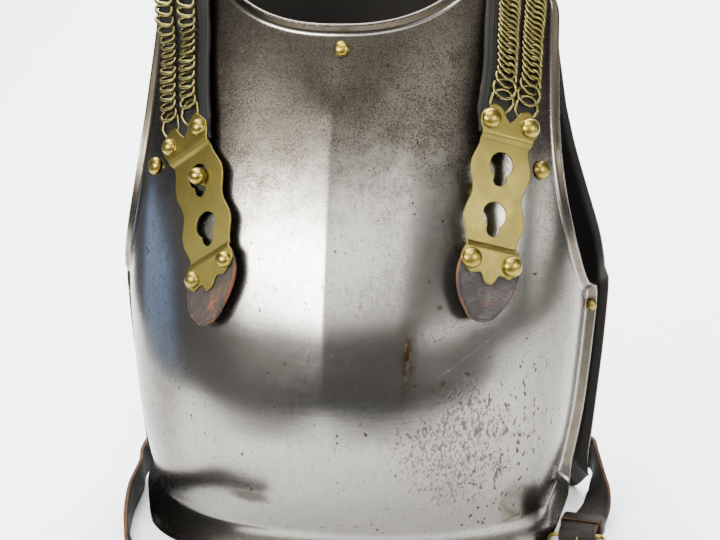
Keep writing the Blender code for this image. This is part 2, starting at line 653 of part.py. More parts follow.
# ---------------------------------------------------------------- shoulder straps
def make_shoulder_strap(side, table, leather, brass, chain_brass):
    make_strap_leather(side, table, leather)
    make_keyhole_plate(f"keyhole_plate_{side}", table, brass)
    top = PLATE_SEAT + PLATE_BRASS + 1.5 * GAP
    for row, along in zip(("lower", "upper"), RIVET_ROWS):
        place, sideways, _, out = frame_at(table, along)
        for where, across in (("left", -TAB_RIVETS), ("right", TAB_RIVETS)):
            seat = place + across * sideways + top * out
            make_rivet(f"plate_rivet_{side}_{row}_{where}", f"plate_{side}", seat, out, brass)
    stations = np.linspace(*CHAIN_SPAN, CHAIN_STATIONS)
    turns = np.arange(6) * math.pi / 3
    middle = STRAP_LEATHER + 2 * GAP + CHAIN_HALF_HEIGHT
    for row, across in CHAIN_ROWS[side].items():
        ring = np.stack((across + CHAIN_HALF_WIDTH * np.cos(turns),
                         middle + CHAIN_HALF_HEIGHT * np.sin(turns) / math.sin(math.pi / 3)), -1)
        frames = route_frames(table, stations)
        sweep(f"shoulder_chain_{side}_{row}", frames, [ring] * len(stations), chain_brass)
    edges = np.tile((-ANCHOR_HALF_WIDTH, ANCHOR_HALF_WIDTH), (len(ANCHOR_SPAN), 1))
    make_strip(f"back_anchor_{side}", route_frames(table, ANCHOR_SPAN), edges, PLATE_BRASS, brass,
               lift=STRAP_LEATHER + GAP)
    place, sideways, _, out = frame_at(table, (ANCHOR_SPAN[0] + ANCHOR_SPAN[-1]) / 2)
    top = STRAP_LEATHER + PLATE_BRASS + 2 * GAP
    for where, across in zip(("left", "right"), ANCHOR_RIVETS):
        seat = place + across * sideways + top * out
        make_rivet(f"anchor_rivet_{side}_{where}", "anchor", seat, out, brass)


def make_strap_leather(side, table, mat):
    """The chain-covered leather, and the separate point under the keyhole plate's lower tab."""
    stations = np.array([LEATHER_FROM, 112, *np.linspace(*CHAIN_SPAN, CHAIN_STATIONS), ANCHOR_SPAN[1],
                         ANCHOR_SPAN[-1] + 2])
    taper = smoothstep(LEATHER_FROM, LEATHER_FROM + LEATHER_TAPER, stations)[:, None]
    rows = sorted(CHAIN_ROWS[side].values())
    low, high = LEATHER_EDGES[side]
    edges = np.array([low, rows[0] - 4, sum(rows) / 2, rows[1] + 4, high])
    edges = np.clip(edges, -LEATHER_END, LEATHER_END) * (1 - taper) + edges * taper
    make_strip(f"shoulder_leather_{side}", route_frames(table, stations), edges, STRAP_LEATHER, mat)
    point = np.array(POINT_EDGE, float)
    edges = point[:, 1:] * (-1, 1)
    make_strip(f"strap_point_{side}", route_frames(table, point[:, 0]), edges, STRAP_LEATHER, mat)


# ---------------------------------------------------------------- belt
def make_belt_half(side, table, hide, brass):
    rows = np.array([row[0] for row in table], float)
    halfway = (rows[1:] + rows[:-1]) / 2
    stations = np.sort(np.concatenate((rows, halfway[np.diff(rows) > BELT_STEP])))
    half = np.full(len(stations), BELT_WIDTH / 2)
    if side == "l":
        half -= BELT_TAPER * np.maximum(stations - rows[-1] + BELT_TIP, 0)
    frames = route_frames(table, stations, square=True)
    make_strip(f"belt_{side}", frames, half[:, None] * (-1, 1), BELT_LEATHER, hide, lift=-BELT_LEATHER / 2)
    place, across, along, out = frame_at(table, BELT_RIVET_AT, square=True)
    outward = out if out[0] * place[0] > 0 else -out
    make_rivet(f"belt_rivet_{side}", "belt", place + outward * (BELT_LEATHER / 2 + GAP), outward, brass)


def wire(name, points, radius, mat, closed=False):
    """A wire bent along straight runs between points."""
    curve = bpy.data.curves.new(name, "CURVE")
    curve.dimensions = "3D"
    spline = curve.splines.new("POLY")
    spline.points.add(len(points) - 1)
    for point, place in zip(spline.points, points):
        point.co = (*(v * MM for v in place), 1)
    spline.use_cyclic_u = closed
    curve.bevel_depth = radius * MM
    curve.bevel_resolution = 1
    curve.use_fill_caps = not closed
    curve.materials.append(mat)
    obj = bpy.data.objects.new(name, curve)
    bpy.data.collections[NAME].objects.link(obj)
    return obj


def make_buckle(mat):
    """A bent-wire frame whose back bar runs through the belt's fold, and a prong lying on its front bar."""
    b = BUCKLE
    x, w, corner, bend = b["x"], b["half_width"], b["corner"], b["bend"]
    back, front = (b["back"], b["height"]), (b["front"], b["front_height"])
    loop = []
    for (y, z), inward, sides in ((back, -1, (-1, 1)), (front, 1, (1, -1))):
        first, second = (x + sides[0] * w, x + sides[1] * w)
        loop += [(first, y + inward * corner, z), (first - sides[0] * bend, y + inward * bend, z),
                 (first - sides[0] * corner, y, z), (second - sides[1] * corner, y, z),
                 (second - sides[1] * bend, y + inward * bend, z), (second, y + inward * corner, z)]
    wire("buckle_frame", loop, b["bar"], mat, closed=True)
    p = PRONG
    over = b["front_height"] + 2 * b["bar"] + GAP
    wire("buckle_prong", [(x, p["heel_y"], p["heel"]), (x, p["knee_y"], p["knee"]),
                          (x, p["rest_y"], over + p["rise"]), (x, p["tip_y"], over)], p["radius"], mat)


def make_keeper(mat):
    """A leather loop that holds the folded end down on the belt."""
    place, across, along, _ = frame_at(BELT_RIGHT, KEEPER["at"], square=True)
    up = np.array((0, 0, 1))
    low = -BELT_LEATHER / 2 - GAP
    half = BELT_WIDTH / 2 + KEEPER["side_play"]
    corners = ((-half, low), (half, low), (half, KEEPER["top"]), (-half, KEEPER["top"]))
    vertices = [place + u * across + h * up + distance * along
                for distance in (-KEEPER["width"] / 2, KEEPER["width"] / 2) for u, h in corners]
    faces = ring_faces(2, len(corners))[:-2]
    keeper = new_object("belt_keeper", np.array(vertices) * MM, faces, mat, smooth=False)
    face_out(keeper, up)
    wall = keeper.modifiers.new("leather", "SOLIDIFY")
    wall.thickness = KEEPER["wall"] * MM
    wall.offset = 1
    wall.use_even_offset = True


# ---------------------------------------------------------------- the object
def clear_scene():
    for obj in list(bpy.data.objects):
        bpy.data.objects.remove(obj, do_unlink=True)
    for name in (NAME, CUTTERS):
        bpy.context.scene.collection.children.link(bpy.data.collections.new(name))


def centre_on_floor():
    """Moves everything so that the origin is under the middle of the whole, at floor level."""
    bpy.context.view_layer.update()
    graph = bpy.context.evaluated_depsgraph_get()
    corners = []
    for obj in bpy.data.collections[NAME].objects:
        solid = obj.evaluated_get(graph)
        corners += [obj.matrix_world @ Vector(v.co) for v in solid.to_mesh().vertices]
        solid.to_mesh_clear()
    low = [min(c[axis] for c in corners) for axis in range(3)]
    high = [max(c[axis] for c in corners) for axis in range(3)]
    middle = Vector(((low[0] + high[0]) / 2, (low[1] + high[1]) / 2, low[2]))
    for obj in bpy.data.objects:
        obj.location -= middle


clear_scene()
STEEL = material("polished_steel", (0.56, 0.55, 0.53), 0.26, 1.0)
DARK_STEEL = material("back_steel", (0.42, 0.41, 0.39), 0.34, 1.0)
BRASS = material("old_brass", (0.55, 0.44, 0.20), 0.32, 1.0)
CHAIN_BRASS = material("chain_brass", (0.50, 0.42, 0.22), 0.38, 1.0)
LEATHER = material("dark_leather", (0.06, 0.045, 0.035), 0.6, 0.0)
BELT_HIDE = material("belt_leather", (0.08, 0.05, 0.035), 0.65, 0.0)

make_plate("breastplate", STEEL)
make_plate("backplate", DARK_STEEL)
ON_LINE, ACROSS, _, _ = frame_at(STRAP_LEFT, STUD_IN_KEYHOLE)
IN_KEYHOLE = ON_LINE + STUD_ASIDE * ACROSS
for where, kind, x, z in FRONT_RIVETS:
    make_rivet(f"breast_rivet_{where}", kind, *breast_seat(x, z, FRONT_RIVET_LIFT), BRASS)
for side, sign in (("l", -1), ("r", 1)):
    seat, out = side_strip("breastplate", sign, SIDE_RIVET_HEIGHT, SIDE_RIVET_SHARE)
    make_rivet(f"breast_rivet_side_{side}", "side", seat + out * SIDE_RIVET_LIFT, out, BRASS)
turned("strap_stud_r", STUD_PROFILE, STUD_STEPS, *breast_seat(*STUD_RIGHT, GAP), BRASS)
turned("strap_stud_l", STUD_PROFILE, STUD_STEPS, *seat_below(IN_KEYHOLE), BRASS)
make_shoulder_strap("r", STRAP_RIGHT, LEATHER, BRASS, CHAIN_BRASS)
make_shoulder_strap("l", STRAP_LEFT, LEATHER, BRASS, CHAIN_BRASS)
make_belt_half("r", BELT_RIGHT, BELT_HIDE, BRASS)
make_belt_half("l", BELT_LEFT, BELT_HIDE, BRASS)
make_buckle(BRASS)
make_keeper(BELT_HIDE)
centre_on_floor()
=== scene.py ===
import math

import bpy
import numpy as np
from mathutils import Matrix, Vector


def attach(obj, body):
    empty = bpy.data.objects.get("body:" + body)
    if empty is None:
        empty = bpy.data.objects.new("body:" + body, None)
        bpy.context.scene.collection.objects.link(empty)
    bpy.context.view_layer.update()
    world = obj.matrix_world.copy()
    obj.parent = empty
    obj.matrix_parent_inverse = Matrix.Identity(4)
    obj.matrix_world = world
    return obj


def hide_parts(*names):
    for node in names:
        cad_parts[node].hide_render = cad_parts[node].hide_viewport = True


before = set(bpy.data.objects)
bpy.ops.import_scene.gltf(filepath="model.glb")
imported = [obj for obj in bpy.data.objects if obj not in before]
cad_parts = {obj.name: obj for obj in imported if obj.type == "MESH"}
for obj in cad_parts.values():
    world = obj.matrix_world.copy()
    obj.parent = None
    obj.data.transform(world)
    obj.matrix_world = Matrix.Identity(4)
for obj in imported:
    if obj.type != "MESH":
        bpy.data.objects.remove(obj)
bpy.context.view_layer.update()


# ---------------------------------------------------------------- polished steel
# Both plates are carbon steel, ground and polished by hand. The steel has kept its shine in the
# middle, but its top is under a fine brown patina, and rust has pitted it low on the wearer's left.
class Socket:
    """One output of a shader node. Sums written with it become Math nodes."""

    def __init__(self, paint, out):
        self.paint, self.out = paint, out

    def math(self, operation, *values):
        return self.paint.node("ShaderNodeMath", dict(enumerate(values)), operation=operation)

    def __add__(self, other):
        return self.math("ADD", self, other)

    def __sub__(self, other):
        return self.math("SUBTRACT", self, other)

    def __rsub__(self, other):
        return self.math("SUBTRACT", other, self)

    def __mul__(self, other):
        return self.math("MULTIPLY", self, other)

    def __truediv__(self, other):
        return self.math("DIVIDE", self, other)

    def __pow__(self, other):
        return self.math("POWER", self, other)

    __radd__ = __add__
    __rmul__ = __mul__

    def least(self, other):
        return self.math("MINIMUM", self, other)

    def most(self, other):
        return self.math("MAXIMUM", self, other)

    def size(self):
        return self.math("ABSOLUTE", self)

    def ramp(self, low, high, to_low=0.0, to_high=1.0):
        """Goes smoothly from to_low to to_high as the value goes from low to high."""
        return self.paint.node("ShaderNodeMapRange", {"Value": self, "From Min": low, "From Max": high,
                                                      "To Min": to_low, "To Max": to_high},
                               interpolation_type="SMOOTHSTEP")


class Paint:
    """A material with one Principled shader, and the nodes that feed it."""

    def __init__(self, name, **constants):
        self.material = bpy.data.materials.new(name)
        self.material.use_nodes = True
        self.tree = self.material.node_tree
        self.shader = self.tree.nodes["Principled BSDF"]
        self.set(self.shader, constants)

    def set(self, node, inputs):
        for key, value in inputs.items():
            socket = node.inputs[key.replace("_", " ") if isinstance(key, str) else key]
            if isinstance(value, Socket):
                self.tree.links.new(value.out, socket)
            elif isinstance(value, tuple) and socket.type == "RGBA":
                socket.default_value = (*value, 1.0)
            else:
                socket.default_value = value

    def node(self, kind, inputs=None, output=0, **settings):
        """Adds any shader node, sets it up, links or sets its inputs, and gives one of its outputs."""
        node = self.tree.nodes.new(kind)
        for key, value in settings.items():
            setattr(node, key, value)
        self.set(node, inputs or {})
        return Socket(self, node.outputs[output])

    def place(self):
        return self.node("ShaderNodeTexCoord", output="Object")

    def part(self, vector, axis):
        return self.node("ShaderNodeSeparateXYZ", {"Vector": vector}, output=axis)

    def attribute(self, name, output="Fac"):
        return self.node("ShaderNodeAttribute", output=output, attribute_name=name)

    def stretched(self, place, x, y, z):
        return self.node("ShaderNodeVectorMath", {0: place, 1: (x, y, z)}, operation="MULTIPLY")

    def noise(self, place, scale, detail=3.0, roughness=0.55):
        return self.node("ShaderNodeTexNoise", {"Vector": place, "Scale": scale, "Detail": detail,
                                                "Roughness": roughness})

    def cells(self, place, scale, output="Distance", feature="F1"):
        return self.node("ShaderNodeTexVoronoi", {"Vector": place, "Scale": scale},
                         output=output, feature=feature)

    def blend(self, share, first, second):
        """Goes from the first colour to the second as the share goes from 0 to 1."""
        return self.node("ShaderNodeMix", {0: share, 6: first, 7: second}, output=2, data_type="RGBA")

    def bump(self, height, distance, strength=1.0):
        return self.node("ShaderNodeBump", {"Height": height, "Distance": distance, "Strength": strength})

    def finish(self, **inputs):
        self.set(self.shader, inputs)
        return self.material


def oval_mark(paint, place, ragged, x, z, half_width, half_height, slant=0.0):
    """A soft-edged oval mark on the front at (x, z) in metres: 1 within it and 0 past its ragged edge."""
    across = (paint.part(place, "X") - x - (paint.part(place, "Z") - z) * slant) / half_width
    up = (paint.part(place, "Z") - z) / half_height
    away = (across * across + up * up) ** 0.5
    return (away + (ragged - 0.5) * 1.5).ramp(1.25, 0.35)


# Colours of the steel's skin, from the palest film to the rust in the deepest pits, and the dark of a painted
# reflection of the belt.
FILM_BROWNS = ((0.074, 0.063, 0.047), (0.034, 0.027, 0.019))
TURNED_BROWN = (0.085, 0.068, 0.047)
PATCH_BROWN = (0.13, 0.105, 0.092)
HALO_BROWN = (0.13, 0.095, 0.058)
# the dark of the waist belt's painted reflection, low on the left
BELT_REFLECTION_DARK = (0.050, 0.038, 0.028)
SPECK_BROWN = (0.085, 0.055, 0.028)
STREAK_RUST = (0.085, 0.045, 0.020)
FRECKLE = (0.028, 0.019, 0.012)
PIT = (0.020, 0.014, 0.010)
RAW_INSIDE = (0.011, 0.009, 0.007)
SCRATCHED_BARE = (0.42, 0.41, 0.39)

# Marks on the front: x and z, half width and half height, all in metres, and how far each one leans.
STREAK = (0.0525, 0.155, 0.0032, 0.021, 0.03)
STREAK_HALO = (0.0525, 0.155, 0.0065, 0.030, 0.02)
PITTED = (0.083, 0.095, 0.046, 0.050, 0.0)
SPOTTED = (0.112, 0.075, 0.045, 0.075, 0.0)
# The next two rows are no marks on the steel: they place a painted reflection of the waist belt, low on the
# left.
BELT_REFLECTION = (-0.0605, 0.0505, 0.017, 0.0055, -0.1)
BELT_REFLECTION_HOOK = (-0.128, 0.032, 0.018, 0.0045, -0.25)
SCRATCH = (0.0915, 0.155, 0.0004, 0.021, 1.45)
SPECKS = ((0.0729, 0.1883, 0.0022), (0.0652, 0.2053, 0.0014), (0.0762, 0.1378, 0.0026),     # x, z, radius
          (0.0206, 0.1905, 0.0012), (-0.030, 0.152, 0.0016), (-0.018, 0.150, 0.0013),
          (-0.034, 0.146, 0.0014))


def steel(name, bright, patina_share, marked):
    """Steel of a bright colour under its share of the patina; marked adds the front's stains and rust, and a
    painted reflection of the belt.
    """
    paint = Paint(name)
    place = paint.place()
    height = paint.part(place, "Z")
    cloud = paint.noise(place, 9.0, 3.0, 0.55)
    mottle = paint.noise(place, 62.0, 4.0, 0.68)
    grain = paint.noise(place, 760.0, 3.0, 0.7)
    wiped = paint.noise(paint.stretched(place, 16.0, 16.0, 1.0), 26.0, 3.0, 0.6)
    cross = paint.noise(paint.stretched(place, 1.0, 2.0, 20.0), 30.0, 3.0, 0.6)

    # turned edges: a bend that is rubbed bright, a strip gone brown, and a worn rim; the waist stays bright
    edge = paint.attribute("edge")
    bend = edge.ramp(0.0, 0.06) * (1.0 - edge.ramp(0.28, 0.42))
    turned = edge.ramp(0.25, 0.45) * (1.0 - edge.ramp(0.85, 0.97)) * height.ramp(0.028, 0.05)

    # the patina: a mottled grey-brown film over the top, with freckles that thin out below; the same brown
    # darkens the sides, most on the left and low down
    rise = height + (cloud - 0.5) * 0.09 + (mottle - 0.5) * 0.05
    side = paint.part(place, "X") + (cloud - 0.5) * 0.04
    left_side = side.ramp(-0.096, -0.130) * height.ramp(0.22, 0.12, 0.12, 0.7)
    sides = left_side.most(side.ramp(0.110, 0.148) * 0.5)
    left = side.ramp(0.03, -0.05) * 0.018
    film = (rise + left).ramp(0.228, 0.312).most(sides) * (1.0 - bend * 0.8) * patina_share
    speckle = grain * 0.72 + mottle * 0.28
    freckle = (speckle + film * 0.05).ramp(0.51, 0.65)
    brown = paint.blend(speckle.ramp(0.36, 0.62), *FILM_BROWNS)

    # rust pits: fine and upright, thick in the pitted patch, with larger dark ones low on the side
    tall = paint.stretched(place, 1.0, 1.0, 0.6)
    fine = paint.noise(tall, 520.0, 3.0, 0.7)
    coarse = paint.noise(tall, 250.0, 2.0, 0.6)
    pitted = oval_mark(paint, place, mottle, *PITTED) if marked else 0.0
    spotted = oval_mark(paint, place, cloud, *SPOTTED) if marked else 0.0
    everywhere = cloud.ramp(0.45, 0.7) * 0.35 + 0.2
    fine_pits = (fine + pitted * 0.13 + everywhere * 0.02).ramp(0.635, 0.70)
    coarse_pits = (coarse + spotted * 0.085 + pitted * 0.055 + everywhere * 0.03).ramp(0.70, 0.745)
    pits = (fine_pits * 0.8).most(coarse_pits)

    base = paint.blend(wiped.ramp(0.3, 0.7) * 0.55 + cloud.ramp(0.3, 0.7) * 0.3, bright,
                       tuple(0.84 * c for c in bright))
    colour = paint.blend(film * 0.88, base, brown)
    colour = paint.blend(freckle * (film * 0.4 + 0.2), colour, FRECKLE)
    colour = paint.blend(pits * 0.9, colour, PIT)
    dull = film * 0.05 + freckle * 0.04 + pits * 0.06
    if marked:
        colour = paint.blend(pitted * 0.35, colour, PATCH_BROWN)
        streak = oval_mark(paint, place, grain, *STREAK)
        halo = oval_mark(paint, place, mottle, *STREAK_HALO)
        colour = paint.blend(halo * 0.45, colour, HALO_BROWN)
        colour = paint.blend(streak * coarse.ramp(0.38, 0.56), colour, STREAK_RUST)
        # a painted reflection: the waist belt's dark image low on the left, which also makes the steel there
        # a little rougher
        belt_reflection = oval_mark(paint, place, mottle, *BELT_REFLECTION).most(oval_mark(paint, place, mottle, *BELT_REFLECTION_HOOK) * 0.8)
        colour = paint.blend(belt_reflection * 0.8, colour, BELT_REFLECTION_DARK)
        scratch = oval_mark(paint, place, cloud, *SCRATCH)
        colour = paint.blend(scratch * 0.5, colour, SCRATCHED_BARE)
        specks = None
        for x, z, size in SPECKS:
            speck = oval_mark(paint, place, grain, x, z, size, size)
            specks = speck if specks is None else specks.most(speck)
        colour = paint.blend(specks * 0.75, colour, SPECK_BROWN)
        dull = dull + streak * 0.06 + belt_reflection * 0.08 + specks * 0.04

    # the inside was never polished
    inner = paint.attribute("inner").ramp(0.5, 0.8)
    colour = paint.blend(turned * (mottle.ramp(0.3, 0.7) * 0.4 + 0.5), colour, TURNED_BROWN)
    colour = paint.blend(inner, colour, RAW_INSIDE)
    brushed = (wiped - 0.5) * 0.08 + (cross - 0.5) * 0.05
    roughness = 0.205 + dull + brushed + turned * 0.06 + inner * 0.3
    relief = wiped * 0.3 + cross * 0.25 - pits * 0.5 - freckle * 0.15 + cloud * 6.0
    return paint.finish(Base_Color=colour, Metallic=1.0 - inner * 0.5, Roughness=roughness,
                        Normal=paint.bump(relief, 0.00009, 0.6))


FRONT_STEEL = steel("front_steel", (0.252, 0.240, 0.214), 1.0, True)
# painted shade: the backplate's steel is given about half the breastplate's brightness, for the shadow the
# breastplate casts over it
SHADED_REAR_STEEL = steel("shaded_rear_steel", (0.13, 0.12, 0.10), 0.9, False)


# ---------------------------------------------------------------- breastplate and backplate
# Each is one sheet raised to shape over a stake, with its waist flared and its other edges turned
# outward. The breastplate has a low keel. Both stand on rims that are filed flat.
MM = 0.001
SHIFT = np.array((-4.116, 30.509, 0.0))     # from the tables' origin to the frame's, in millimetres
KEEL_SPAN = (85, 150, 310, 354)     # heights where it starts, is full, starts to fade, and has faded
KEEL_REACH = 46            # how far it runs out to each side
KEEL_CURVE = 1.6
KEEL_SOFTNESS = 0.8        # rounds the keel's crest
CORNER_FROM = 0.84         # share of the half width where the waist starts to lift to the side corner
NECK_CURVE = 2.4           # how sharply the neckline rises towards the shoulders
SHOULDER_CURVE = 1.15
FLARE_CURVE = 1.7
RIM_SLACK = 1              # how far the flared rims run below the floor before they are filed flat
RIM_LIFT = 26              # how far they lift at the side corners
RIM_LIFT_FROM = 0.74
RIM_RINGS = 12             # rows of faces across a turned edge
EDGE_SPREAD = 4.0          # how gradually one kind of turned edge goes over into the next
AWAY_SPREAD = 2.5
AWAY_STRETCH = 1.08        # makes up for what averaging the edge's direction takes off its length


def mesh_piece(name, points, faces, material, slot, nodes=(), sharp=None, **attributes):
    """A smooth piece from points in millimetres about the tables' origin, riding on the frame."""
    mesh = bpy.data.meshes.new(name)
    faces = faces.tolist() if hasattr(faces, "tolist") else faces
    mesh.from_pydata((np.asarray(points, float) + SHIFT) * MM, [], faces)
    for key, values in attributes.items():
        values = np.asarray(values, np.float32)
        kind = "FLOAT_VECTOR" if values.ndim == 2 else "FLOAT"
        layer = mesh.attributes.new(key, kind, "POINT")
        layer.data.foreach_set("vector" if values.ndim == 2 else "value", values.ravel())
    mesh.shade_smooth()
    if sharp:
        mesh.set_sharp_from_angle(angle=math.radians(sharp))
    mesh.materials.append(material)
    piece = bpy.data.objects.new(name, mesh)
    bpy.context.scene.collection.objects.link(piece)
    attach(piece, "root")
    if nodes:
        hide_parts(*nodes)
    return piece


def quads(rows, columns, closed_rows=False, closed_columns=False):
    """Faces of a grid of points, counted row by row."""
    i = np.arange(rows if closed_rows else rows - 1)[:, None]
    j = np.arange(columns if closed_columns else columns - 1)[None, :]
    up, over = (i + 1) % rows, (j + 1) % columns
    return np.stack([(a * columns + b).ravel() for a, b in ((i, j), (i, over), (up, over), (up, j))], -1)


def smoothstep(low, high, x):
    t = np.clip((x - low) / (high - low), 0, 1)
    return t * t * (3 - 2 * t)


def eased(table, column, at, spread=9.0):
    """A column of a table at any height: straight runs between its rows, rounded off over a spread."""
    margin, window = 60, 36
    rows = np.array(table, float)
    knots, values = rows[:, 0], rows[:, column]
    fine = np.arange(knots[0] - margin, knots[-1] + margin)
    run = np.interp(fine, knots, values)
    run += np.minimum(fine - knots[0], 0) * (values[1] - values[0]) / (knots[1] - knots[0])
    run += np.maximum(fine - knots[-1], 0) * (values[-1] - values[-2]) / (knots[-1] - knots[-2])
    bell = np.exp(-0.5 * (np.arange(-window, window + 1) / spread) ** 2)
    run = np.convolve(run, bell / bell.sum(), "same")
    return np.interp(at, fine[window:-window], run[window:-window])


# sections: height, half width, y of the side edge, y of the crest, fullness. armhole: height, half width.
# Lengths are in millimetres and turns in degrees; width, turn and roll describe each kind of turned edge.
BREAST = dict(
    sections=((0, 145, -21, -122, 0.85), (22, 147.5, -21, -124, 0.85), (50, 154, -19, -137, 0.86),
              (85, 160.5, -15, -144, 0.88), (127, 165, -10, -142, 0.90), (171, 168.8, -5, -133, 0.92),
              (213, 167, -2, -119, 0.93), (243, 164, 0, -108, 0.94), (278, 158, 2, -94, 0.94),
              (302, 153, 6, -84, 0.94), (342, 146, 14, -67, 0.93), (372, 143, 22, -53, 0.93),
              (400, 142, 32, -39, 0.93)),
    armhole=((171, 168.8), (191, 163), (219, 156), (243, 150.5), (259, 147.5), (278, 144.5),
             (302, 142), (342, 140), (366, 139.5), (390, 139)),
    outward=-1, wall=2.4, shift=0.0, keel=3.0, neck_share=7 / 14, pit_row=0.42,
    waist=25, corner_lift=13, pit=171, neck=361.5, neck_rise=28, shoulder_out=380, flare=9,
    width=dict(side=9.9, arm=7, shoulder=2.5, neck=8), turn=dict(side=78, arm=62, shoulder=20, neck=55),
    roll=dict(side=2.5, arm=4, shoulder=1, neck=5))
BACK = dict(
    sections=((0, 157, -3, 96, 0.80), (24, 159, -2, 93, 0.80), (55, 165, 2, 96, 0.80),
              (88, 168.5, 6, 101, 0.80), (127, 172.5, 9, 109, 0.81), (174, 176, 13, 118, 0.82),
              (230, 174, 14, 126, 0.86), (290, 168, 10, 128, 0.90), (350, 160, 6, 120, 0.92),
              (400, 153, 2, 100, 0.92), (440, 147, -2, 70, 0.92)),
    armhole=((174, 176), (197, 170), (226, 158), (260, 146.5), (290, 139), (334, 133), (390, 128.5),
             (430, 127)),
    outward=1, wall=1.5, shift=1.5, keel=0.0, neck_share=6 / 12, pit_row=0.40,
    waist=24, corner_lift=16, pit=174, neck=392, neck_rise=36, shoulder_out=424, flare=10,
    width=dict(side=9, arm=7, shoulder=2.5, neck=8), turn=dict(side=78, arm=55, shoulder=20, neck=40),
    roll=dict(side=2.5, arm=4, shoulder=1, neck=5))


def plate_face(plate, angle, z):
    """x is the half width times the sine of the angle from the ridge, and y runs from the side edge to
    the crest with a power of its cosine. The breastplate adds its low ridge."""
    half_width, side, crest, fullness = (eased(plate["sections"], column, z) for column in (1, 2, 3, 4))
    x = half_width * np.sin(angle)
    y = side + (crest - side) * np.abs(np.cos(angle)) ** fullness
    tall = smoothstep(*KEEL_SPAN[:2], z) * (1 - smoothstep(*KEEL_SPAN[2:], z))
    near = np.sqrt(x * x + KEEL_SOFTNESS) - math.sqrt(KEEL_SOFTNESS)
    y = y - plate["keel"] * tall * np.clip(1 - near / KEEL_REACH, 0, 1) ** KEEL_CURVE
    return np.stack((x + plate["shift"], y, z * np.ones_like(x)), -1)


def round_the_edge(values, lengths, spread):
    """Averages values round a closed edge with a bell-shaped weight of the given spread in millimetres."""
    at = np.cumsum(lengths)
    apart = np.abs(at[:, None] - at[None, :])
    apart = np.minimum(apart, lengths.sum() - apart)
    weight = np.exp(-0.5 * (apart / spread) ** 2) * lengths[None, :]
    return weight @ values / weight.sum(1, keepdims=True)


def plate_sheet(plate, columns, rows_below, rows_above):
    """The outer face of a plate from its waist to its shoulders, with its turned edges, and how far
    each point lies out on a turned edge."""
    across = np.linspace(-1, 1, columns)[None, :]
    share = np.abs(across)
    bottom = plate["waist"] + plate["corner_lift"] * smoothstep(CORNER_FROM, 1.0, share)
    inner = plate["neck"] + plate["neck_rise"]
    neck = plate["neck"] + plate["neck_rise"] * (share / plate["neck_share"]) ** NECK_CURVE
    along = np.clip((share - plate["neck_share"]) / (1 - plate["neck_share"]), 0, 1)
    shoulder = inner + (plate["shoulder_out"] - inner) * along ** SHOULDER_CURVE
    top = np.where(share < plate["neck_share"], neck, shoulder)
    corner = plate["waist"] + plate["corner_lift"]
    pit = (plate["pit"] - corner) / (plate["shoulder_out"] - corner)
    up = np.concatenate((np.linspace(0, pit, rows_below), np.linspace(pit, 1, rows_above)[1:]))[:, None]
    rows = len(up)
    level = corner + up * (plate["shoulder_out"] - corner)
    cut = eased(plate["armhole"], 1, level, 5.0) / eased(plate["sections"], 1, level)
    limit = np.where(level <= plate["pit"], math.pi / 2, np.arcsin(np.clip(cut, 0, 1)))
    z = bottom + up * (top - bottom)
    angle = across * limit
    face = plate_face(plate, angle, z)
    short = np.clip(angle, 0.02 - math.pi / 2, math.pi / 2 - 0.02)
    over = plate_face(plate, short + 0.01, z) - plate_face(plate, short - 0.01, z)
    rise = plate_face(plate, short, z + 0.5) - plate_face(plate, short, z - 0.5)
    normal = np.cross(over, rise) * -plate["outward"]
    normal /= np.linalg.norm(normal, axis=-1, keepdims=True)

    # once round the edge: the waist, the right side and armhole, the top, and down the other side
    half = round((1 - plate["neck_share"]) * (columns - 1) / 2)
    walk = [(0, j, "waist") for j in range(columns)]
    walk += [(i, columns - 1, "side" if i < rows_below else "arm") for i in range(1, rows)]
    walk += [(rows - 1, j, "neck" if half <= j < columns - half else "shoulder")
             for j in range(columns - 2, 0, -1)]
    walk += [(i, 0, "side" if i < rows_below else "arm") for i in range(rows - 1, 0, -1)]
    ii, jj = np.array([w[0] for w in walk]), np.array([w[1] for w in walk])
    at, out = face[ii, jj], normal[ii, jj]
    step = np.roll(at, -1, 0) - np.roll(at, 1, 0)
    lengths = np.linalg.norm(step, axis=1) / 2
    step /= 2 * lengths[:, None]
    away = np.cross(step, out)
    away *= np.sign(np.sum(away * (at - face.reshape(-1, 3).mean(0))))
    away = round_the_edge(away, lengths, AWAY_SPREAD) * AWAY_STRETCH
    width, turn, roll = (
        round_the_edge(np.array([[plate[key].get(kind, 0.0)] for _, _, kind in walk]), lengths, EDGE_SPREAD)
        for key in ("width", "turn", "roll"))
    on_waist = np.array([[float(kind == "waist")] for _, _, kind in walk])
    on_waist = round_the_edge(on_waist, lengths, EDGE_SPREAD)
    turn, roll = np.radians(turn), np.maximum(roll, 0.5)
    width, turn = width / (1 - on_waist + 0.05), turn / (1 - on_waist + 0.05)
    roll = np.clip(0.6 * width / np.maximum(turn, 0.1), 0.3, roll)
    flat = out * (1, 1, 0)
    flat /= np.linalg.norm(flat, axis=1, keepdims=True)
    foot = RIM_LIFT * smoothstep(RIM_LIFT_FROM, 1.0, np.abs(across[0]))[jj][:, None] - RIM_SLACK
    strips = []
    parts = np.linspace(0, 1, RIM_RINGS + 1)[1:]
    for part in parts:
        run = part * width
        bend = np.minimum(run / roll, turn)
        rest = np.maximum(run - roll * turn, 0)
        turned = roll * (np.sin(bend) * away + (1 - np.cos(bend)) * out)
        turned += rest * (np.cos(turn) * away + np.sin(turn) * out)
        flared = flat * plate["flare"] * part ** FLARE_CURVE
        flared[:, 2:] += (foot - at[:, 2:]) * part
        strips.append(at + turned * (1 - on_waist) + flared * on_waist)
    points = np.concatenate((face.reshape(-1, 3), *strips))
    faces = [quads(rows, columns)]
    inner_ring = ii * columns + jj
    for k in range(RIM_RINGS):
        outer_ring = rows * columns + k * len(walk) + np.arange(len(walk))
        faces.append(np.stack((np.roll(inner_ring, -1), inner_ring, outer_ring, np.roll(outer_ring, -1)), -1))
        inner_ring = outer_ring
    edge = np.concatenate((np.zeros(rows * columns), np.repeat(parts, len(walk))))
    return points, np.concatenate(faces), inner_ring, edge


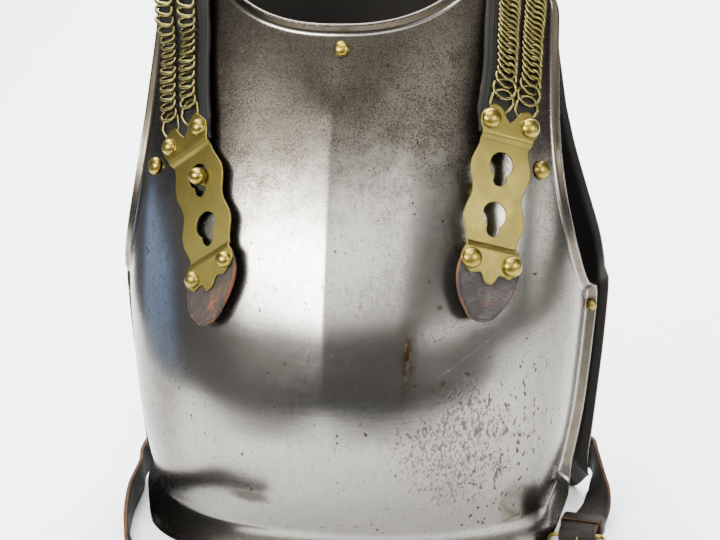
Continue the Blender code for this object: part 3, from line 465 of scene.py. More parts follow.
def plate_piece(name, plate, material, slot, node, columns, rows_below, rows_above):
    """Gives a plate's outer face its wall and a rounded rim, filed flat where it stands on the floor."""
    points, faces, rim, edge = plate_sheet(plate, columns, rows_below, rows_above)
    a, b, c, d = points[faces.T]
    diagonals = np.cross(c - a, d - b)
    if diagonals[len(faces) // 3, 1] * plate["outward"] < 0:
        faces, diagonals = faces[:, ::-1], -diagonals
    normal = np.zeros_like(points)
    for corner in range(4):
        np.add.at(normal, faces[:, corner], diagonals)
    normal /= np.linalg.norm(normal, axis=1, keepdims=True)
    inside = points - normal * plate["wall"]
    count = len(points)
    ahead = points[rim] - points[rim - len(rim)]
    ahead /= np.linalg.norm(ahead, axis=1, keepdims=True)
    middle, half = (points[rim] + inside[rim]) / 2, (points[rim] - inside[rim]) / 2
    radius = plate["wall"] / 2
    caps = [middle + half * math.cos(t) + ahead * radius * 0.7 * math.sin(t)
            for t in np.radians((30, 60, 90, 120, 150))]
    solid = np.concatenate((points, inside, *caps))
    solid[:, 2] = np.maximum(solid[:, 2], 0)
    ring = np.arange(len(rim))
    chain = [rim, *(2 * count + k * len(rim) + ring for k in range(len(caps))), rim + count]
    walls = [np.stack((np.roll(a, -1), a, b, np.roll(b, -1)), -1) for a, b in zip(chain, chain[1:])]
    walls = np.concatenate(walls)
    a, b, c, d = solid[walls[0]]
    if np.dot(np.cross(c - a, d - b), ahead[0]) < 0:
        walls = walls[:, ::-1]
    shade = np.concatenate((edge, edge, np.ones(len(caps) * len(rim))))
    inner = np.concatenate((np.zeros(count), np.ones(count), np.full(len(caps) * len(rim), 0.5)))
    return mesh_piece(name, solid, np.concatenate((faces, faces[:, ::-1] + count, walls)), material, slot,
                      (node,), edge=shade, inner=inner)


plate_piece("front_plate", BREAST, FRONT_STEEL, "polished_steel", "breastplate", 181, 66, 86)
plate_piece("rear_plate", BACK, SHADED_REAR_STEEL, "back_steel", "backplate", 161, 60, 80)


# ---------------------------------------------------------------- where the straps run
# Each row is a point on a strap's middle line: the distance along it from the lower rivets, the point,
# and how its width is aimed (turn about the vertical, then lean out of the level, in degrees).
OVER_THE_SHOULDER = (
    (223, 119, -11, 401, 14, -16), (254, 118, 9, 425, 2, -14), (281, 117, 34, 437, -10, -12),
    (308, 116, 59, 433, -20, -12), (334, 115, 71.5, 412, -27, -10), (361, 114, 79.5, 388, -28, -8),
    (386, 113, 87, 364, -28, -6))
FREE_STRAP = (
    (-26, 105, -130, 184, 26, -14), (15, 109.8, -114.6, 220.4, 25, -17),
    (48, 111.7, -101.9, 250.2, 26, -18), (82, 114.8, -87.4, 281.1, 27, -18),
    (111, 117.3, -72.5, 305.7, 29, -18), (146, 119.5, -53, 335, 31, -18),
    (177, 119, -36, 360.6, 29, -18), (199, 119.8, -24.5, 379.5, 22, -18)) + OVER_THE_SHOULDER
HOOKED_STRAP = (
    (-26, -78.8, -128, 175.4, -10, 32), (15, -79.4, -114.4, 209.0, -11, 34),
    (48, -86, -101.7, 238.2, -12, 32), (82, -94.6, -85.6, 268.2, -15, 32),
    (111, -104.8, -70.4, 292.0, -18, 33), (148, -110.1, -51.4, 326.3, -22, 30),
    (181, -112.8, -36.5, 355.5, -24, 24), (199, -115.6, -32, 372, -20, 20),
    (223, -118.5, -17.5, 398, -15, 17)) + tuple(
        (along, -x, y, z, -turn, -lean) for along, x, y, z, turn, lean in OVER_THE_SHOULDER[1:])
SIDES = {"r": FREE_STRAP, "l": HOOKED_STRAP}
LEATHER = 3.0          # thickness of a strap's leather


def through(table, column, at):
    """A column of a table at any distance, along cubic curves that pass through its rows."""
    rows = np.array(table, float)
    knots, values = rows[:, 0], rows[:, column]
    slopes = np.gradient(values, knots)
    at = np.clip(at, knots[0], knots[-1])
    i = np.clip(np.searchsorted(knots, at) - 1, 0, len(knots) - 2)
    span = knots[i + 1] - knots[i]
    t = (at - knots[i]) / span
    rise = (3 - 2 * t) * t * t
    return (values[i] * (1 - rise) + values[i + 1] * rise
            + span * slopes[i] * t * (1 - t) ** 2 - span * slopes[i + 1] * t * t * (1 - t))


def frames_at(table, at, square=False):
    """Places, and the across, along and outward directions, at distances along a strap. The width may lie
    askew to the length; square=True sets it square."""
    at = np.asarray(at, float)
    place = np.stack([through(table, column, at) for column in (1, 2, 3)], -1)
    along = np.stack([through(table, c, at + 0.5) - through(table, c, at - 0.5) for c in (1, 2, 3)], -1)
    along /= np.linalg.norm(along, axis=-1, keepdims=True)
    turn, lean = np.radians(through(table, 4, at)), np.radians(through(table, 5, at))
    across = np.stack((np.cos(lean) * np.cos(turn), np.cos(lean) * np.sin(turn), np.sin(lean)), -1)
    if square:
        across -= along * np.sum(across * along, -1, keepdims=True)
        across /= np.linalg.norm(across, axis=-1, keepdims=True)
    out = np.cross(across, along)
    return place, across, along, out / np.linalg.norm(out, axis=-1, keepdims=True)


def frame_at(table, at, square=False):
    """The same at a single distance."""
    return [part[0] for part in frames_at(table, [at], square)]


def on_strap(table, across, along, out, square=False):
    """Points given as distances across, along and out from a strap's middle line."""
    place, side, _, up = frames_at(table, along, square)
    return place + across[..., None] * side + out[..., None] * up


def strip_of_leather(name, table, along, left, right, low, high, material, slot, nodes, soft=0.8,
                     square=False):
    """A strip with softly rounded cut edges. left and right are its edges at each distance along it.
    Its points carry the distances along, across and out, and how much they belong to a cut edge."""
    corner = np.radians(np.linspace(0, 90, 4))
    level = np.linspace(-1, 1, 11)[1:-1]
    sides = []
    for turned, (sx, sy) in enumerate(((1, 1), (-1, 1), (-1, -1), (1, -1))):
        x, y = np.cos(corner), np.sin(corner)
        if turned % 2:
            x, y = x[::-1], y[::-1]
        sides.append((sx * np.ones(4), sy * np.ones(4), sx * x, sy * y, np.ones(4)))
        if turned == 0:
            sides.append((level[::-1], np.ones(9), np.zeros(9), np.ones(9), np.zeros(9)))
        if turned == 2:
            sides.append((level, -np.ones(9), np.zeros(9), -np.ones(9), np.zeros(9)))
    at_x, at_y, bend_x, bend_y, rim = (np.concatenate(part) for part in zip(*sides))
    middle, half = ((right + left) / 2)[:, None], ((right - left) / 2)[:, None]
    thick = (high - low) / 2
    reach = np.minimum(half, soft)
    across = middle + at_x * (half - reach * (rim > 0)) + bend_x * reach
    out = (high + low) / 2 + at_y * (thick - soft) + bend_y * soft
    along_all = np.repeat(along[:, None], len(at_x), 1)
    points = on_strap(table, across, along_all, out * np.ones_like(across), square)
    rows, columns = across.shape
    faces = quads(rows, columns, closed_columns=True)
    ends = [np.arange(columns)[::-1].tolist(), ((rows - 1) * columns + np.arange(columns)).tolist()]
    strip = np.stack((across, along_all, out * np.ones_like(across)), -1).reshape(-1, 3) * MM
    cut = (rim * np.abs(bend_x)) * np.ones_like(across)
    cut[[0, -1]] = 1
    from_ends = np.minimum(along - along[0], along[-1] - along)
    margin = np.minimum(half - np.abs(across - middle), from_ends[:, None])
    return mesh_piece(name, points.reshape(-1, 3), faces.tolist() + ends, material, slot, nodes, sharp=60,
                      strip=strip, cut=cut.ravel(), margin=margin.ravel() * MM)


# ---------------------------------------------------------------- strap leather
# Thick cowhide, dyed nearly black and greased, with a line scored beside each edge. Where its skin is
# scuffed off a cut edge, the rust-orange inside shows. The chain-covered part runs from under the
# keyhole plate over the shoulder, and a separate point is riveted under the plate's lower end.
def hide(name, face, worn, bare, wear, bareness, scored=(0.0021,), scuffs=0.0):
    """wear lightens the face, bareness opens the cut edges, and scuffs bares patches near a strap's end."""
    paint = Paint(name, Specular_IOR_Level=0.16)
    strip = paint.attribute("strip", "Vector")
    margin = paint.attribute("margin")
    pores = paint.cells(strip, 1100.0).ramp(0.1, 0.5)
    hairs = paint.noise(paint.stretched(strip, 1.0, 7.0, 1.0), 260.0, 4.0, 0.7)
    creases = paint.noise(paint.stretched(strip, 0.5, 2.2, 1.0), 300.0, 4.0, 0.65)
    cloud = paint.noise(strip, 75.0, 4.0, 0.6)
    groove = None
    for distance in scored:
        line = 1.0 - (margin - distance).size().ramp(0.00018, 0.00055)
        groove = line if groove is None else groove.most(line)
    cut = paint.attribute("cut") + margin.ramp(0.0016, 0.0004) * 0.55
    rubbed = (cloud * 0.55 + hairs * 0.6).ramp(0.52, 0.78) * wear
    colour = paint.blend(rubbed, face, worn)
    colour = paint.blend(groove * 0.7, colour, tuple(0.35 * c for c in face))
    scuffed = (cut * (cloud + bareness - 0.5)).ramp(0.30, 0.62)
    if scuffs:
        patches = paint.noise(paint.stretched(strip, 1.0, 1.6, 1.0), 150.0, 3.0, 0.6) * 0.8 + hairs * 0.2
        scuffed = scuffed.most(patches.ramp(0.53, 0.62) * paint.part(strip, "Y").ramp(0.002, -0.012) * scuffs)
    colour = paint.blend(scuffed, colour, bare)
    relief = pores * 0.3 + creases + hairs * 0.4 - groove * 2.5
    roughness = 0.6 - rubbed * 0.08 + (pores - 0.5) * 0.08 + scuffed * 0.2
    return paint.finish(Base_Color=colour, Roughness=roughness,
                        Normal=paint.bump(relief, 0.00035, 0.5))


STRAP_HIDE = hide("strap_hide", (0.008, 0.0075, 0.0065), (0.013, 0.012, 0.010),
                  (0.09, 0.030, 0.012), wear=0.9, bareness=0.12, scored=(0.0021, 0.0056))
POINT_HIDES = {
    "r": hide("free_point_hide", (0.024, 0.0205, 0.0195), (0.068, 0.060, 0.057),
              (0.12, 0.042, 0.018), wear=1.0, bareness=0.42, scuffs=0.2),
    "l": hide("hooked_point_hide", (0.030, 0.023, 0.020), (0.054, 0.042, 0.032),
              (0.13, 0.046, 0.019), wear=1.0, bareness=0.28, scuffs=0.85)}
STRAP_START, WIDE_FROM, STRAP_END = 101, 119, 386
NARROW_HALF = 20.5         # half the strap's width at its start, under the keyhole plate
EDGES = {"r": (-24.3, 20.5), "l": (-20.5, 24.3)}
for side, table in SIDES.items():
    along = np.linspace(STRAP_START, STRAP_END, 150)
    taper = smoothstep(STRAP_START, WIDE_FROM, along)
    left, right = (NARROW_HALF * sign * (1 - taper) + edge * taper
                   for sign, edge in zip((-1, 1), EDGES[side]))
    strip_of_leather(f"strap_hide_{side}", table, along, left, right, 0, LEATHER, STRAP_HIDE,
                     "dark_leather", (f"shoulder_leather_{side}",))

# Each row: the distance along the strap, and half the point's width there.
POINT = ((-26, 3), (-24, 7.5), (-19, 12), (-13, 16.5), (-7, 19.5), (2, 22), (9, 22.3), (15, 21), (22, 19))
for side, table in SIDES.items():
    along = POINT[0][0] + (POINT[-1][0] - POINT[0][0]) * np.linspace(0, 1, 60) ** 1.6
    half = through(POINT, 1, along)
    strip_of_leather(f"strap_tip_{side}", table, along, -half, half, 0, LEATHER, POINT_HIDES[side],
                     "dark_leather", (f"strap_point_{side}",))


# ---------------------------------------------------------------- brass
# Old brass, gone olive in the open and darker in its corners, with tarnish and painted shade there, and paler
# gold where hands rub it.
# The sheet is smoother than the cast rivets, and the chain's wire is the dullest.
def brass(name, pale, olive, dark, rough):
    """pale where it is rubbed, olive where it is tarnished, and dark in its corners, with tarnish and painted
    shade.
    """
    paint = Paint(name, Metallic=1.0)
    place = paint.place()
    cloud = paint.noise(place, 45.0, 4.0, 0.6)
    fleck = paint.noise(place, 420.0, 3.0, 0.7)
    shaded_corner = 1.0 - paint.node("ShaderNodeNewGeometry", output="Pointiness").ramp(0.44, 0.51)
    tarnish = (cloud.ramp(0.35, 0.68) * 0.7 + fleck.ramp(0.55, 0.75) * 0.3).least(1.0)
    colour = paint.blend(tarnish, pale, olive)
    # concave corners darkened: tarnish, and painted shade where they would fall dark
    colour = paint.blend((shaded_corner * 0.8).least(1.0), colour, dark)
    line = paint.noise(paint.stretched(place, 4.0, 4.0, 1.0), 120.0, 3.0, 0.7)
    return paint.finish(Base_Color=colour, Roughness=rough + tarnish * 0.10 + (line - 0.5) * 0.12,
                        Normal=paint.bump(line * 0.4 + fleck * 0.2 + cloud * 4.0, 0.00010, 0.5))


SHEET_BRASS = brass("sheet_brass", (0.156, 0.126, 0.029), (0.122, 0.099, 0.027), (0.06, 0.045, 0.018), 0.40)
CAST_BRASS = brass("cast_brass", (0.245, 0.186, 0.037), (0.185, 0.140, 0.030), (0.06, 0.045, 0.016), 0.31)
WIRE_BRASS = brass("wire_brass", (0.200, 0.170, 0.056), (0.118, 0.100, 0.036), (0.05, 0.042, 0.018), 0.34)


# ---------------------------------------------------------------- keyhole plates
# 1.3 mm brass sheet, wavy along its sides, stepped down between its two riveted tabs, with two
# keyholes for the stud. Each end is cut round its two rivets; the lower one has a small tongue.
SHEET = 1.3
FOLDS = (23, 27.5, 96.5, 101)       # both steps down from the tabs, as distances along the strap
RIVET_ROWS = (15.3, 110.6)
SEAT = LEATHER + 0.525      # the tabs' undersides above the strap's inner face
WAVES = dict(half_width=20.2, depth=2.0, crest=45, length=33.5)
TABS = dict(widest=22, narrowest=19, swell=0.04, blend=2)
KEYHOLES = (48, 82)         # the middles of the round holes
HOLE_RADIUS = 8.6
SLOT_HALF = 4.8             # half the slot's width
SLOT_REACH = 10.2           # from the round hole's middle down to the middle of the slot's rounded end
KEYHOLE_MIDDLE = 3          # how far below the round hole's middle the cut is aimed
CUT_DEPTHS = (-4, 6)
TONGUE_END = ((0, 0), (0.15, 0.8), (0.33, 6.8), (0.52, 7), (0.76, 6), (1, 13.5))
NOTCHED_END = ((0, 110.6), (0.15, 114), (0.33, 119), (0.52, 121.3), (0.76, 121), (1, 112.5))


def plate_half_width(along):
    """Waves of 2 mm between the folds, and swells round the rivets of the tabs."""
    turn = 2 * math.pi * (along - WAVES["crest"]) / WAVES["length"]
    wave = WAVES["half_width"] + WAVES["depth"] * np.cos(turn)
    from_rivets = np.minimum((along - RIVET_ROWS[0]) ** 2, (along - RIVET_ROWS[1]) ** 2)
    tab = np.maximum(TABS["widest"] - TABS["swell"] * from_rivets, TABS["narrowest"])
    on_tab = (1 - smoothstep(FOLDS[0], FOLDS[0] + TABS["blend"], along)
              + smoothstep(FOLDS[3] - TABS["blend"], FOLDS[3], along))
    return wave * (1 - on_tab) + tab * on_tab


def plate_lift(along):
    """How far the plate's underside lies above the strap's middle line."""
    return SEAT * (1 - smoothstep(FOLDS[0], FOLDS[1], along) + smoothstep(FOLDS[2], FOLDS[3], along))


def keyhole_cutter(name, table, centre):
    """A prism, hidden from the render, for the Boolean: a round hole with a narrower slot below it."""
    start = math.asin(SLOT_HALF / HOLE_RADIUS)
    turns = np.linspace(-math.pi / 2 + start, 3 * math.pi / 2 - start, 40)
    foot = np.linspace(0, math.pi, 14)
    u = np.concatenate((HOLE_RADIUS * np.cos(turns), -SLOT_HALF * np.cos(foot)))
    v = np.concatenate((centre + HOLE_RADIUS * np.sin(turns),
                        centre - SLOT_REACH - SLOT_HALF * np.sin(foot)))
    place, side, along, out = frame_at(table, centre - KEYHOLE_MIDDLE)
    base = place + u[:, None] * side + (v - centre + KEYHOLE_MIDDLE)[:, None] * along
    points = np.concatenate([base + depth * out for depth in CUT_DEPTHS])
    count = len(u)
    lids = [list(range(count))[::-1], list(range(count, 2 * count))]
    walls = [(i, (i + 1) % count, count + (i + 1) % count, count + i) for i in range(count)]
    mesh = bpy.data.meshes.new(name)
    mesh.from_pydata((points + SHIFT) * MM, [], lids + walls)
    cutter = bpy.data.objects.new(name, mesh)
    bpy.context.scene.collection.objects.link(cutter)
    cutter.hide_render = True
    cutter.display_type = "WIRE"
    return cutter


for side, table in SIDES.items():
    share = np.linspace(-1, 1, 61)
    low, high = (through(end, 1, np.abs(share)) for end in (TONGUE_END, NOTCHED_END))
    part = np.linspace(0, 1, 16)[:, None]
    lower = low + (FOLDS[0] - low) * part[:-1]
    middle = np.repeat(np.linspace(FOLDS[0], FOLDS[3], 100)[:, None], len(share), 1)
    upper = FOLDS[3] + (high - FOLDS[3]) * part[1:]
    along = np.concatenate((lower, middle, upper))
    across = share * plate_half_width(along)
    points = on_strap(table, across, along, plate_lift(along))
    faces = quads(*along.shape)
    plate = mesh_piece(f"keyhole_sheet_{side}", points.reshape(-1, 3), faces, SHEET_BRASS, "old_brass",
                       (f"keyhole_plate_{side}",))
    plate.data.set_sharp_from_angle(angle=math.radians(40))
    wall = plate.modifiers.new("sheet", "SOLIDIFY")
    wall.thickness, wall.offset = SHEET * MM, 1
    for number, centre in enumerate(KEYHOLES):
        cut = plate.modifiers.new(f"keyhole_{number}", "BOOLEAN")
        cut.operation, cut.solver = "DIFFERENCE", "EXACT"
        cut.object = keyhole_cutter(f"cutter_{side}_{number}", table, centre)


# ---------------------------------------------------------------- rivets in the breastplate
# Domed brass rivets that once held the lining: one under the neck, one beside each armhole, and a
# small one on each turned side. Each is turned, with a soft shoulder where it meets the steel.
def turned_brass(name, profile, place, outward, nodes):
    """Spins a profile of (radius, height) pairs, from the foot's middle to the top, about an axis."""
    sides = 36
    place, profile = np.array(place, float), np.array(profile, float)
    turns = np.arange(sides) * 2 * math.pi / sides
    z = np.asarray(outward, float) / np.linalg.norm(outward)
    x = np.cross(z, (0, 0, 1.0))
    x /= np.linalg.norm(x)
    y = np.cross(z, x)
    ring = np.cos(turns)[:, None] * x + np.sin(turns)[:, None] * y
    body = profile[1:-1]
    points = place + body[:, 0, None, None] * ring + body[:, 1, None, None] * z
    poles = [place + profile[end, 1] * z for end in (0, -1)]
    points = np.concatenate((points.reshape(-1, 3), poles))
    rows = len(body)
    around = np.arange(sides)
    after = (around + 1) % sides
    foot = np.stack((after, around, np.full(sides, rows * sides)), -1).tolist()
    last = (rows - 1) * sides
    top = np.stack((last + around, last + after, np.full(sides, rows * sides + 1)), -1).tolist()
    faces = quads(rows, sides, closed_columns=True)
    return mesh_piece(name, points, faces.tolist() + foot + top, CAST_BRASS, "old_brass", nodes, sharp=50)


def dome(radius, height):
    """A quarter of an ellipse that stands on a low, slightly wider foot."""
    foot = 0.5
    turns = np.radians(np.linspace(0, 90, 12))
    cap = [(radius * 0.96 * math.cos(t), foot + (height - foot) * math.sin(t)) for t in turns[:-1]]
    return [(0, -0.2), (radius * 0.98, -0.2), (radius, 0.1), (radius * 0.99, 0.4), *cap, (0, height)]


# Each row: the rivet, its radius and height, its foot on the tables' origin, and the way it faces.
LINING_RIVETS = (
    ("neck", 5.6, 3.8, (3.0, -62.1, 354.3), (0.010, -0.907, 0.420)),
    ("arm_l", 6.6, 4.6, (-135.0, -54.9, 268.2), (-0.659, -0.698, 0.280)),
    ("arm_r", 6.6, 4.6, (139.1, -50.1, 270.2), (0.700, -0.659, 0.275)),
    ("side_l", 4.0, 3.2, (-172.8, -4.6, 161.1), (-0.194, -0.977, 0.090)),
    ("side_r", 4.0, 3.2, (172.7, -4.6, 161.1), (0.195, -0.977, 0.090)))
for rivet, radius, height, foot, outward in LINING_RIVETS:
    turned_brass(f"lining_rivet_{rivet}", dome(radius, height), foot, outward, (f"breast_rivet_{rivet}",))


# ---------------------------------------------------------------- strap studs
# A turned brass ball on a neck, riveted through the breastplate under each strap. The one on the
# wearer's right comes through its keyhole; the other is bare under the loose strap.
BALL = np.radians(np.linspace(-52, 90, 18))     # from where the neck ends to the top
STUD = [(0, 0), (5.3, 0), (5.5, 0.3), (5.5, 1.0), (5.0, 1.5), (3.4, 2.1), (2.6, 3.0), (2.6, 6.0),
        *[(6.2 * math.cos(t), 10.8 + 6.0 * math.sin(t)) for t in BALL[:-1]], (0, 16.8)]
STUDS = {"r": ((101.1, -79.6, 262.1), (0.412, -0.852, 0.324)),      # its foot, and the way it faces
         "l": ((-90.0, -82.9, 266.3), (-0.350, -0.873, 0.340))}
for side, (foot, outward) in STUDS.items():
    turned_brass(f"stud_ball_{side}", STUD, foot, outward, (f"strap_stud_{side}",))


# ---------------------------------------------------------------- rivets through the keyhole plates
# Two larger domes hold each end of a keyhole plate on its leather. They are cast, and hands have
# rubbed them brighter than the sheet.
PLATE_DOMES = {"r": dome(7.3, 5.4), "l": dome(6.2, 5.4)}
PLATE_RIVETS = {"left": -14.7, "right": 14.7}
OVER_SHEET = 0.2
for side, table in SIDES.items():
    for row, along in zip(("lower", "upper"), RIVET_ROWS):
        for where, across in PLATE_RIVETS.items():
            place, sideways, _, out = frame_at(table, along)
            lift = float(plate_lift(np.array(along))) + SHEET + OVER_SHEET
            turned_brass(f"dome_{side}_{row}_{where}", PLATE_DOMES[side],
                         place + across * sideways + lift * out, out,
                         (f"plate_rivet_{side}_{row}_{where}",))


# ---------------------------------------------------------------- shoulder chains
# Curb chain of brass wire rings, 16 mm across, laid flat in two rows on each strap and stitched down.
# Every ring is bent so that one side lies over the next ring. The last three open out, and the
# lowest goes under the edge of the keyhole plate.
def carried(path, side, section, closed=True):
    """Carries a closed outline, as (along side, out) pairs, along a path in space. side is one fixed
    direction or one for each point, and out is the cross product of the path's direction with it."""
    ahead = np.roll(path, -1, 0) - np.roll(path, 1, 0) if closed else np.gradient(path, axis=0)
    ahead /= np.linalg.norm(ahead, axis=1, keepdims=True)
    side = np.broadcast_to(np.asarray(side, float), path.shape)
    side = side - ahead * np.sum(side * ahead, 1, keepdims=True)
    side = side / np.linalg.norm(side, axis=1, keepdims=True)
    out = np.cross(ahead, side)
    section = np.asarray(section, float)
    return path[:, None] + section[None, :, :1] * side[:, None] + section[None, :, 1:] * out[:, None]


def round_section(radius, sides):
    turns = (np.arange(sides) + 0.5) * 2 * math.pi / sides
    return np.stack((radius * np.cos(turns), radius * np.sin(turns)), -1)


WIRE = 1.25            # radius of the chain's wire
WIRE_SIDES = 4
RING = 7.2             # radius of a ring to the middle of its wire
RING_POINTS = 14
CLEARANCE = 0.35
FLAT_LIFT = 1.2        # how high an open ring lies above the clearance
TUCKED = (119.5, 124.0)     # distances along between which the lowest ring dips under the keyhole plate
TUCK = 2.2
CHAIN_ROWS = {"r": {"inner": -8.5, "outer": 10.5}, "l": {"inner": 7.5, "outer": -12.5}}
WEAVE = {"r": dict(steps=(5.2, 3.8), length=0.78, side_up=1.5, foot_up=0.35, lift=2.6, slant=0.0, plait=0.0),
         "l": dict(steps=(6.2, 6.0), length=0.42, side_up=0.25, foot_up=2.1, lift=3.3, slant=-0.3, plait=1.6)}
# Each open ring: its distance along, its radius, and its share of the weave.
OPEN_RINGS = {"r": ((124.5, 8.3, 0.0), (133.0, 8.3, 0.55), (140.5, 7.9, 0.8)),
              "l": ((124.5, 8.0, 0.0), (131.5, 7.5, 0.7), (137.5, 7.3, 0.95))}
ROW_END = 349
SCATTER = dict(place=0.12, radius=0.1, turn=0.05)


def ring_row(name, table, across, weave, loose, node, seed):
    """Rings along a strap. A ring's height is a sine of its angle, which lifts its foot, plus a sine of
    twice the angle, which lifts its lower left and upper right over its neighbours."""
    rng = np.random.default_rng(seed)
    # the first ten steps go evenly from one length to the other
    steps = loose[-1][0] + np.cumsum(np.interp(np.arange(90), (0, 9), weave["steps"]))
    steps = steps[steps < ROW_END]
    steps = steps + rng.normal(0, SCATTER["place"], len(steps))
    rings = [*loose, *((along, RING + rng.normal(0, SCATTER["radius"]), 1.0) for along in steps)]
    turn = np.arange(RING_POINTS) * 2 * math.pi / RING_POINTS
    points, faces = [], []
    for k, (along, radius, woven) in enumerate(rings):
        tilt, swing = rng.normal(0, SCATTER["turn"]), rng.normal(0, SCATTER["turn"])
        u, v = radius * np.cos(turn), radius * np.sin(turn) * (1 - woven * (1 - weave["length"]))
        plait = weave["plait"] * np.sin(turn) * smoothstep(0.3, 1, np.cos(turn))
        v = v + woven * (plait + weave["slant"] * u)
        w = woven * (weave["side_up"] * np.sin(2 * turn) - weave["foot_up"] * np.sin(turn)) + tilt * u
        under = 1 - smoothstep(*TUCKED, along + v)
        w = w * (1 - under) - TUCK * under
        u, v = u * math.cos(swing) - v * math.sin(swing), u * math.sin(swing) + v * math.cos(swing)
        lift = LEATHER + CLEARANCE + FLAT_LIFT + woven * (weave["lift"] - FLAT_LIFT)
        path = np.stack((across + u, along + v, lift + w), -1)
        wire = carried(path, (0, 0, 1.0), round_section(WIRE, WIRE_SIDES))
        faces.append(quads(RING_POINTS, WIRE_SIDES, True, True) + RING_POINTS * WIRE_SIDES * k)
        points.append(wire.reshape(-1, 3))
    placed = on_strap(table, *np.concatenate(points).T)
    return mesh_piece(name, placed, np.concatenate(faces), WIRE_BRASS, "chain_brass", (node,))


for number, (side, rows) in enumerate(CHAIN_ROWS.items()):
    for row, across in rows.items():
        ring_row(f"chain_{side}_{row}", SIDES[side], across, WEAVE[side], OPEN_RINGS[side],
                 f"shoulder_chain_{side}_{row}", 10 * number + len(row))


# ---------------------------------------------------------------- anchors behind the shoulders
# A plain strip of brass sheet is riveted over the back end of each strap, where it passes down the
# backplate. Its edges are filed round.
ANCHOR = dict(start=353, end=384, half_width=21.5, rounded=1.5, rivets=(-13, 13))
ANCHOR_LOW = LEATHER + CLEARANCE
ANCHOR_TOP = ANCHOR_LOW + SHEET
for side, table in SIDES.items():
    along = np.linspace(ANCHOR["start"], ANCHOR["end"], 24)
    corners = 1 - np.sin(np.linspace(0, math.pi, len(along))) ** 0.25
    half = ANCHOR["half_width"] - ANCHOR["rounded"] * corners
    strip_of_leather(f"anchor_sheet_{side}", table, along, -half, half, ANCHOR_LOW, ANCHOR_TOP,
                     SHEET_BRASS, "old_brass", (f"back_anchor_{side}",), soft=0.45)
    place, sideways, _, out = frame_at(table, (ANCHOR["start"] + ANCHOR["end"]) / 2)
    for where, across in zip(("left", "right"), ANCHOR["rivets"]):
        turned_brass(f"anchor_dome_{side}_{where}", dome(6.2, 4.4),
                     place + across * sideways + (ANCHOR_TOP + CLEARANCE) * out, out,
                     (f"anchor_rivet_{side}_{where}",))


# ---------------------------------------------------------------- waist belt
# Two lengths of 26 mm bridle leather, riveted to the turned sides of the backplate. They are dark and
# greasy on the face, cracked where they bend, and tan at their cut edges. The half on the wearer's
# left is folded back round the buckle's bar; the other ends in a plain tip.
BELT_HALF = 13.0
BELT_WALL = 3.0
BELT_RIVET_AT = 12.0
TIP_LENGTH = 12            # the plain tip, where each edge comes in by TIP_SLOPE of the length
TIP_SLOPE = 0.6
BELT_RIGHT = (
    (0, 150, 54, 33, 0, 90), (20, 165, 41, 33, 0, 90), (37, 174.5, 27, 33, 0, 90),
    (52, 177.5, 12.5, 29.5, 0, 86), (66, 179.3, 1.5, 20.5, 0, 72), (79, 179.8, -7.5, 12.8, 0, 48),
    (92, 178.3, -18, 7.6, 0, 24), (105, 175.8, -28.5, 5, 0, 8), (122, 172.4, -43.5, 4.1, 0, 0),
    (141, 169.5, -61, 4.1, 0, 0), (146.3, 168.8, -66.3, 4.1, 0, 0), (149.3, 168.5, -69.3, 5.2, 0, 0),
    (152.1, 168.4, -70.4, 7.7, 0, 0), (154.9, 168.5, -69.3, 10.2, 0, 0),
    (157.9, 168.8, -66.3, 11.3, 0, 0), (163.2, 169.5, -61, 11.3, 0, 0), (184, 172.3, -40, 8.3, 0, 0))
BELT_LEFT = (
    (0, -147, 55, 24.3, 180, 90), (22, -165, 41, 22.3, 180, 90), (40, -174, 26, 19.3, 180, 90),
    (60, -175.5, 6, 15.8, 180, 90), (78, -171.5, -12, 13.7, 180, 90), (96, -169, -30, 13.6, 180, 90),
    (121, -166, -55, 13.6, 180, 90), (142, -162, -75, 13.6, 180, 90),
    (163, -157, -95, 13.6, 180, 90), (184, -151, -115, 13.6, 200, 88),
    (206, -142, -135, 13.1, 210, 76), (226, -131, -151, 11.3, 221, 48),
    (246, -117, -164, 5.9, 233, 16), (266, -100, -173, 2.4, 241, 0), (290, -79, -180, 2.2, 247, 0))
BELT_HIDE = hide("belt_hide", (0.008, 0.006, 0.0045), (0.022, 0.018, 0.014),
                 (0.060, 0.024, 0.009), wear=0.9, bareness=0.36)
for side, table in (("r", BELT_RIGHT), ("l", BELT_LEFT)):
    length = table[-1][0]
    along = np.linspace(0, length, 260)
    half = np.full(len(along), BELT_HALF)
    if side == "l":
        half -= TIP_SLOPE * np.maximum(along - length + TIP_LENGTH, 0)
    strip_of_leather(f"belt_strip_{side}", table, along, -half, half, -BELT_WALL / 2, BELT_WALL / 2,
                     BELT_HIDE, "belt_leather", (f"belt_{side}",), soft=0.7, square=True)
    place, _, _, out = frame_at(table, BELT_RIVET_AT, square=True)
    outward = out if out[0] * place[0] > 0 else -out
    turned_brass(f"belt_dome_{side}", dome(5.5, 3.2), place + outward * (BELT_WALL / 2 + CLEARANCE),
                 outward, (f"belt_rivet_{side}",))


# ---------------------------------------------------------------- keeper loop
# A strip of thin belt leather, bent round the belt and its folded end and butted underneath.
def rounded_loop(half_width, half_height, corner, count=9):
    """An oblong with quarter-circle corners, anticlockwise, as pairs about its middle."""
    turns = np.radians(np.linspace(0, 90, count))
    middle = np.repeat([(1, 1), (-1, 1), (-1, -1), (1, -1)], count, 0)
    middle = middle * (half_width - corner, half_height - corner)
    angle = np.concatenate([turns + quarter * math.pi / 2 for quarter in range(4)])
    return middle + corner * np.stack((np.cos(angle), np.sin(angle)), -1)


